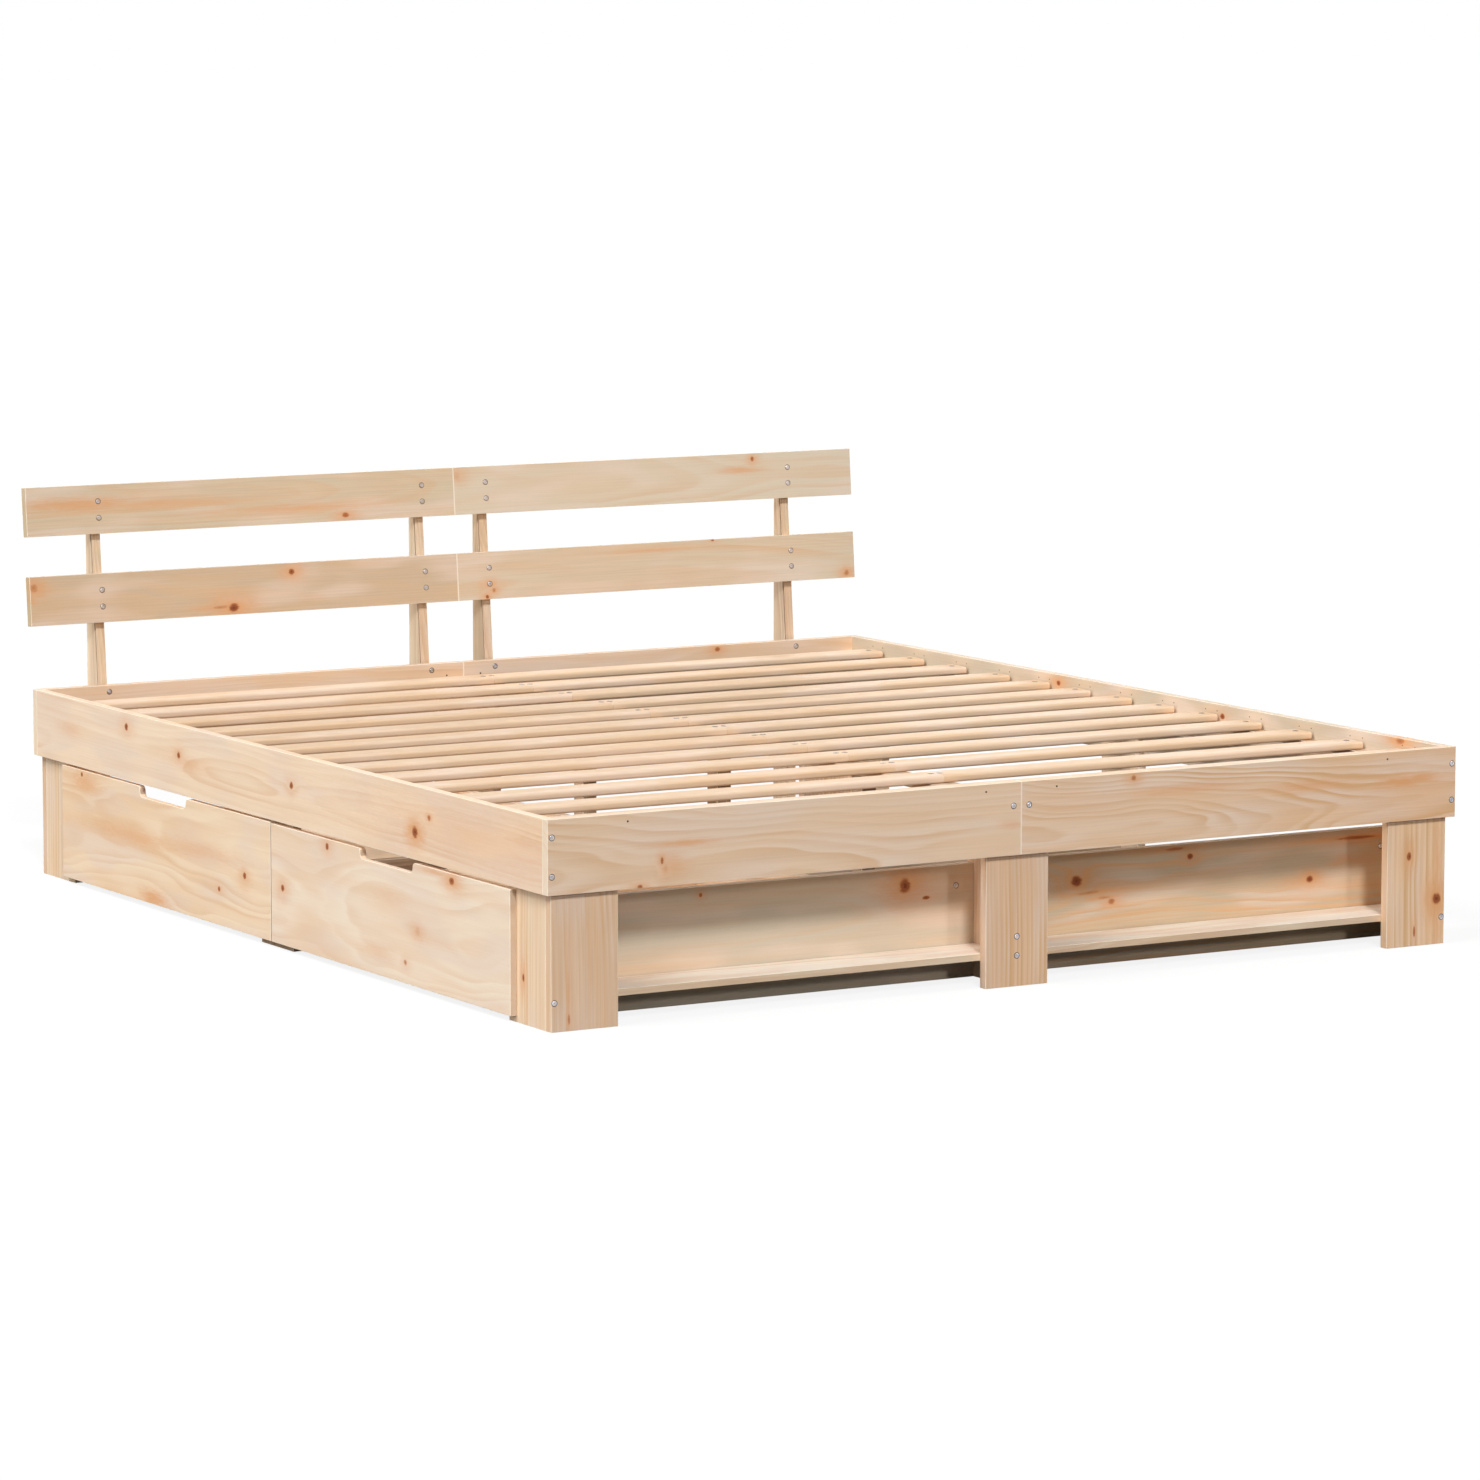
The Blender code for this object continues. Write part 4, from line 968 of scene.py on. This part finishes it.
def mirrored(half_profile):
    """A whole profile from the half beyond its middle."""
    return [(radius, -place) for radius, place in reversed(half_profile)] + half_profile


def castor_wheel(axle):
    """A wheel with a rounded tread, sunk flanks and a hub proud of them."""
    half = WHEEL_WIDTH / 2
    hub, sunk = half + HUB_PROUD, half - FLANK_SUNK
    flank_inner, flank_outer = FLANK_RADII
    half_profile = arc((WHEEL_RADIUS - TREAD_ROUND, half - TREAD_ROUND), TREAD_ROUND, 0, 90, 5)
    half_profile += [(flank_outer + out, half - down) for out, down in reversed(RIM_EASE)]
    half_profile += [(flank_outer, sunk), (flank_inner, sunk), (HUB_RADIUS + 0.0005, hub - 0.0005),
                     (HUB_RADIUS, hub), (AXLE_RADIUS + SEAT_GAP, hub)]
    return turned(mirrored(half_profile), Y, axle, 48)


def build_drawer(body):
    node = body + "_front"
    wooden(node + "_board", drawer_front(node), Y, Z, BOARDS[node], [node], body)
    node = body + "_box"
    low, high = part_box(node)
    inner_low, inner_high = low + Vector((BOARD, BOARD, 0)), high - Vector((BOARD, BOARD, 0))

    def widened(reach):
        return ((inner_low.x - reach, inner_high.x + reach), (inner_low.y - reach, inner_high.y + reach))

    groove_z = low.z + GROOVE_UP
    groove = (*widened(GROOVE_DEPTH), (groove_z, groove_z + PANEL + 2 * PANEL_FIT))
    height, gap = (low.z, high.z), SEAT_GAP / 2
    between = (inner_low.y + gap, inner_high.y - gap)
    walls = {
        "foot_side": (((low.x, high.x), (low.y, inner_low.y), height), X),
        "head_side": (((low.x, high.x), (inner_high.y, high.y), height), X),
        "inner_front": (((low.x, inner_low.x), between, height), Y),
        "back": (((inner_high.x, high.x), between, height), Y),
    }
    for wall_name, (wall, along) in walls.items():
        wooden(f"{body}_{wall_name}_wall", blocks([wall], [groove]), along, Z, drawer_pine,
               [node], body, ease=0.0008)
    node = body + "_bottom"
    panel_z = (groove_z + PANEL_FIT, groove_z + PANEL_FIT + PANEL)
    panel = blocks([(*widened(GROOVE_DEPTH - PANEL_FIT), panel_z)])
    wooden(body + "_bottom_panel", panel, Y, X, bottom_plywood, [node], body, ease=0.0004)
    for index in range(1, 5):
        wheel_node = f"{body}_wheel_{index}"
        wheel_low, wheel_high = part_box(wheel_node)
        axle = (wheel_low + wheel_high) / 2
        piece(f"{body}_castor_fork_{index}", castor_fork(axle, panel_z[0]), fork_steel, body, [node])
        piece(wheel_node + "_tyre", castor_wheel(axle), wheel_plastic, wheel_node + "_body", [wheel_node])


# ---------- screws ----------

HEAD_RADIUS, HEAD_SIDES, RECESS_DEPTH = 0.0046, 32, 0.0016
RING_RISE, RING_RADII = 0.00015, (0.9 * HEAD_RADIUS, 1.22 * HEAD_RADIUS)
PILOT_RADII, PILOT_RISE, PILOT_DEPTH = (0.0018, 0.0014, 0.0010), 0.00015, 0.0004

# Places of the screws and marks, as (x, z) on the right half; the left half mirrors them.
RAIL_SCREWS = ((0.9193, 0.3272), (0.9193, 0.2617), (0.0159, 0.3165))
RAIL_PILOTS = ((0.0722, 0.3444), (0.7761, 0.3444))
POST_SCREWS = ((0.0715, 0.3446), (0.7745, 0.3446))
HEAD_RAIL_MARKS = ((0.038, 0.3325),)
SHELF_BACK_SCREWS = ((0.046, 0.163), (0.864, 0.165))
CENTRE_LEG_SCREWS = ((0, 0.0872), (0, 0.0537))
CORNER_LEG_SCREWS = ((HALF_WIDTH - LEG_INSET - 0.0062, 0.0489),)
SLAT_MARKS, SLAT_MARK_Z = (-0.020, 0.018), 0.3448
SLAT_SCREW_IN, SLAT_END_SCREW_IN, HEADBOARD_SCREW_STEP = 0.009, 0.016, 0.016
SLAT_PLACES = [((low.y + high.y) / 2, low, high) for low, high in map(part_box, SLAT_ROWS)]


def screw_head(place, outward, turn):
    """A flat round head with a rolled rim and a cross recess."""
    solid = bmesh.new()
    loops = []
    for radius, height in ((HEAD_RADIUS, -0.0006), (HEAD_RADIUS, HEAD_RISE * 0.45),
                           (HEAD_RADIUS * 0.96, HEAD_RISE * 0.8), (HEAD_RADIUS * 0.86, HEAD_RISE)):
        angles = [math.tau * step / HEAD_SIDES for step in range(HEAD_SIDES)]
        loops.append([solid.verts.new((radius * math.cos(angle), radius * math.sin(angle), height))
                      for angle in angles])
    for near, far in zip(loops, loops[1:]):
        for index in range(HEAD_SIDES):
            solid.faces.new((near[index - 1], near[index], far[index], far[index - 1]))
    reach, half = HEAD_RADIUS * 0.58, HEAD_RADIUS * 0.14
    cross = [(reach, -half), (reach, half), (half, half), (half, reach), (-half, reach), (-half, half),
             (-reach, half), (-reach, -half), (-half, -half), (-half, -reach), (half, -reach), (half, -half)]
    upper = [solid.verts.new((x, y, HEAD_RISE)) for x, y in cross]
    lower = [solid.verts.new((x * 0.6, y * 0.6, HEAD_RISE - RECESS_DEPTH)) for x, y in cross]
    rim = [solid.edges.new((upper[index - 1], upper[index])) for index in range(len(cross))]
    outer = [solid.edges.get((loops[-1][index - 1], loops[-1][index])) for index in range(HEAD_SIDES)]
    bmesh.ops.triangle_fill(solid, use_beauty=True, edges=rim + outer)
    for index in range(len(cross)):
        solid.faces.new((upper[index - 1], upper[index], lower[index], lower[index - 1]))
    solid.faces.new(lower)
    solid.faces.new(loops[0][::-1])
    bmesh.ops.recalc_face_normals(solid, faces=solid.faces)
    facing = Z.rotation_difference(outward).to_matrix().to_4x4()
    solid.transform(Matrix.Translation(place) @ facing @ Matrix.Rotation(turn, 4, "Z"))
    return solid


def torn_ring_and_shade(place, outward):
    """The dark ring round a screw head: crushed wood, and painted shade of the gap round the head."""
    inner, outer = RING_RADII
    profile = [(inner, -RING_RISE), (outer, -RING_RISE), (outer, RING_RISE), (inner, RING_RISE)]
    return turned(profile, outward, place, 32)


def screws(name, places, outward, finish=screw_steel):
    """All the screws that show on one face, and the dark ring of torn wood and painted shade round them."""
    places = [Vector(place) for place in places]
    heads = [screw_head(place, outward, 0.7 + 1.3 * index) for index, place in enumerate(places)]
    piece(name, merged(heads), finish, "bed_frame", smooth=False)
    rings = [torn_ring_and_shade(place, outward) for place in places]
    piece(name + "_holes", merged(rings), torn_wood_and_shade, "bed_frame", smooth=False)


def pilot_holes(name, places, outward, size=1.0):
    """Small drilled holes, seen as dark dots with a sunken middle; the dark is torn fibres and painted shade
    of the hole.
    """
    outer, lip, inner = [radius * size for radius in PILOT_RADII]
    profile = [(0, -PILOT_DEPTH), (outer, -PILOT_DEPTH), (outer, 0.8 * PILOT_RISE), (lip, PILOT_RISE),
               (inner, HAIRLINE), (0, HAIRLINE)]
    holes = [turned(profile, outward, Vector(place), 16) for place in places]
    piece(name, merged(holes), torn_wood_and_shade, "bed_frame", smooth=False)


def on_both_halves(places, y):
    """Places on the right half of a face, and the same mirrored on the left."""
    return [(side * x, y, z) for side in (LEFT, RIGHT) for x, z in places]


def build_end_screws():
    for end, end_name in ENDS:
        leg_y = end_y(end, LEG_INSET)
        screws(f"{end_name}_rail_screws", on_both_halves(RAIL_SCREWS, end_y(end, HEAD_RISE)), end * Y)
        screws(f"{end_name}_centre_leg_screws", [(x, leg_y, z) for x, z in CENTRE_LEG_SCREWS], end * Y)
        screws(f"{end_name}_corner_leg_screws", on_both_halves(CORNER_LEG_SCREWS, leg_y), end * Y)
    pilot_holes("foot_rail_pilot_holes", on_both_halves(RAIL_PILOTS, end_y(FOOT, HEAD_RISE)), -Y)
    screws("head_rail_inner_screws", on_both_halves(POST_SCREWS, end_y(HEAD, BOARD)), -Y)
    pilot_holes("head_rail_marks", on_both_halves(HEAD_RAIL_MARKS, end_y(HEAD, BOARD)), -Y)


def build_side_rail_marks():
    for side, side_name in SIDES:
        marks = [(side_x(side, BOARD), middle + off, SLAT_MARK_Z)
                 for middle, _, _ in SLAT_PLACES for off in SLAT_MARKS]
        pilot_holes(f"{side_name}_rail_marks", marks, -side * X, 0.7)


def build_shelf_screws():
    back_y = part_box("foot_shelf_back_left")[0].y
    screws("foot_shelf_back_screws", on_both_halves(SHELF_BACK_SCREWS, back_y), -Y)


def build_headboard_screws():
    forward = Vector((0, -math.cos(LEAN), math.sin(LEAN)))
    for row_name in ("upper", "lower"):
        low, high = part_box(f"headboard_{row_name}_left")
        places = []
        for node, step in product(POSTS, (-HEADBOARD_SCREW_STEP, HEADBOARD_SCREW_STEP)):
            post_low, post_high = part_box(node)
            height = (low.z + high.z) / 2 + step
            face_y = post_front_y(height) - (BOARD + SEAT_GAP) / math.cos(LEAN)
            places.append(((post_low.x + post_high.x) / 2, face_y, height))
        screws(f"headboard_{row_name}_screws", places, forward, warm_steel)


def build_slat_screws():
    places = []
    for middle, low, high in SLAT_PLACES:
        across = (-SLAT_SCREW_IN, SLAT_SCREW_IN, high.x - SLAT_END_SCREW_IN, low.x + SLAT_END_SCREW_IN)
        places += [(x, middle, high.z) for x in across]
    screws("slat_screws", places, Z, sunk_steel)


build_rails()
build_corner_legs()
build_middle_legs()
build_supports()
build_slats()
build_shelf()
build_headboard()
build_drawer("drawer_foot")
build_drawer("drawer_head")
build_end_screws()
build_side_rail_marks()
build_shelf_screws()
build_headboard_screws()
build_slat_screws()


# ---------- room ----------

AMBIENT = 0.16
FLOOR_TONE, FLOOR_LIFT = (0.15, 0.15, 0.15), 0.86

# Bearing from the foot to the left and height in degrees, level, and spread in degrees.
LAMPS = {
    "front_light": (19.5, 36.8, 0.58, 9),
    "low_front_light": (0, 17.4, 0.13, 5),
    "left_light": (90, 49, 0.53, 24),
    "low_left_light": (87, 12, 0.32, 44),
    "back_light": (215, 15, 0.32, 20),
}

# The photograph's camera, found from the bed's corners: place, degrees, and a lens for a 36 mm sensor.
CAMERA_PLACE = (-5.773238, -9.889771, 1.799264)
CAMERA_AZIMUTH, CAMERA_ELEVATION, CAMERA_ROLL = -30.5447, 7.4074, 0.0643
SENSOR_WIDTH, LENS = 36.0, 150.90


def stand(name, data):
    """Set something in the room that is no part of the bed."""
    made = bpy.data.objects.new(name, data)
    bpy.context.scene.collection.objects.link(made)
    return made


def seen_by_eye(tree):
    """One for what the camera, metal and clear pieces see, and zero for what lights the bed."""
    camera, glossy, clear = [source(tree, "LightPath", f"Is {ray} Ray")
                             for ray in ("Camera", "Glossy", "Transmission")]
    return calc("MAXIMUM", camera, calc("MAXIMUM", glossy, clear))


def floor_white():
    """A plain pale surface that the eye sees as near white."""
    finish, tree, shader = new_finish("floor_white")
    tone = cloud(source(tree, "TexCoord", "Object"), 0.6, 2.0)[0]
    feed(shader["Base Color"], mixed(tone, FLOOR_TONE, [level * 0.99 for level in FLOOR_TONE]))
    feed(shader["Roughness"], 0.9)
    feed(shader["Specular IOR Level"], 0.0)
    feed(shader["Emission Color"], (1, 1, 1, 1))
    feed(shader["Emission Strength"], seen_by_eye(tree) * FLOOR_LIFT)
    return finish


def build_floor():
    floor = bmesh.new()
    bmesh.ops.create_grid(floor, x_segments=8, y_segments=8, size=60)
    mesh = bpy.data.meshes.new("studio_floor")
    floor.to_mesh(mesh)
    floor.free()
    mesh.materials.append(floor_white())
    stand("studio_floor", mesh)


def build_world():
    world = bpy.data.worlds.new("studio")
    bpy.context.scene.world = world
    world.use_nodes = True
    back = world.node_tree.nodes["Background"].inputs
    feed(back["Color"], (1, 1, 1, 1))
    feed(back["Strength"], seen_by_eye(world.node_tree) * (1 - AMBIENT) + AMBIENT)


def toward(bearing, height):
    """The direction of a bearing from the foot to the left and a height, both in degrees."""
    bearing, height = math.radians(bearing), math.radians(height)
    level = math.cos(height)
    return Vector((-math.sin(bearing) * level, -math.cos(bearing) * level, math.sin(height)))


def build_lamps():
    """Far soft lights. Level 1 lights a facing surface as written."""
    for name, (bearing, height, level, spread) in LAMPS.items():
        data = bpy.data.lights.new(name, "SUN")
        data.energy = level * math.pi
        data.angle = math.radians(spread)
        lamp = stand(name, data)
        lamp.rotation_mode = "QUATERNION"
        lamp.rotation_quaternion = (-toward(bearing, height)).to_track_quat("-Z", "Y")


def build_camera():
    back = toward(-CAMERA_AZIMUTH, CAMERA_ELEVATION)
    roll = math.radians(CAMERA_ROLL)
    right = (-back).cross(Z).normalized()
    up = right.cross(-back)
    rolled_right = math.cos(roll) * right + math.sin(roll) * up
    rolled_up = -math.sin(roll) * right + math.cos(roll) * up
    data = bpy.data.cameras.new("camera")
    data.sensor_width, data.lens = SENSOR_WIDTH, LENS
    data.clip_start, data.clip_end = 0.1, 300.0
    camera = stand("camera", data)
    turn = Matrix((rolled_right, rolled_up, back)).transposed().to_4x4()
    camera.matrix_world = Matrix.Translation(CAMERA_PLACE) @ turn
    bpy.context.scene.camera = camera


build_floor()
build_world()
build_lamps()
build_camera()
bpy.context.scene.view_settings.view_transform = "Standard"

bpy.context.view_layer.update()
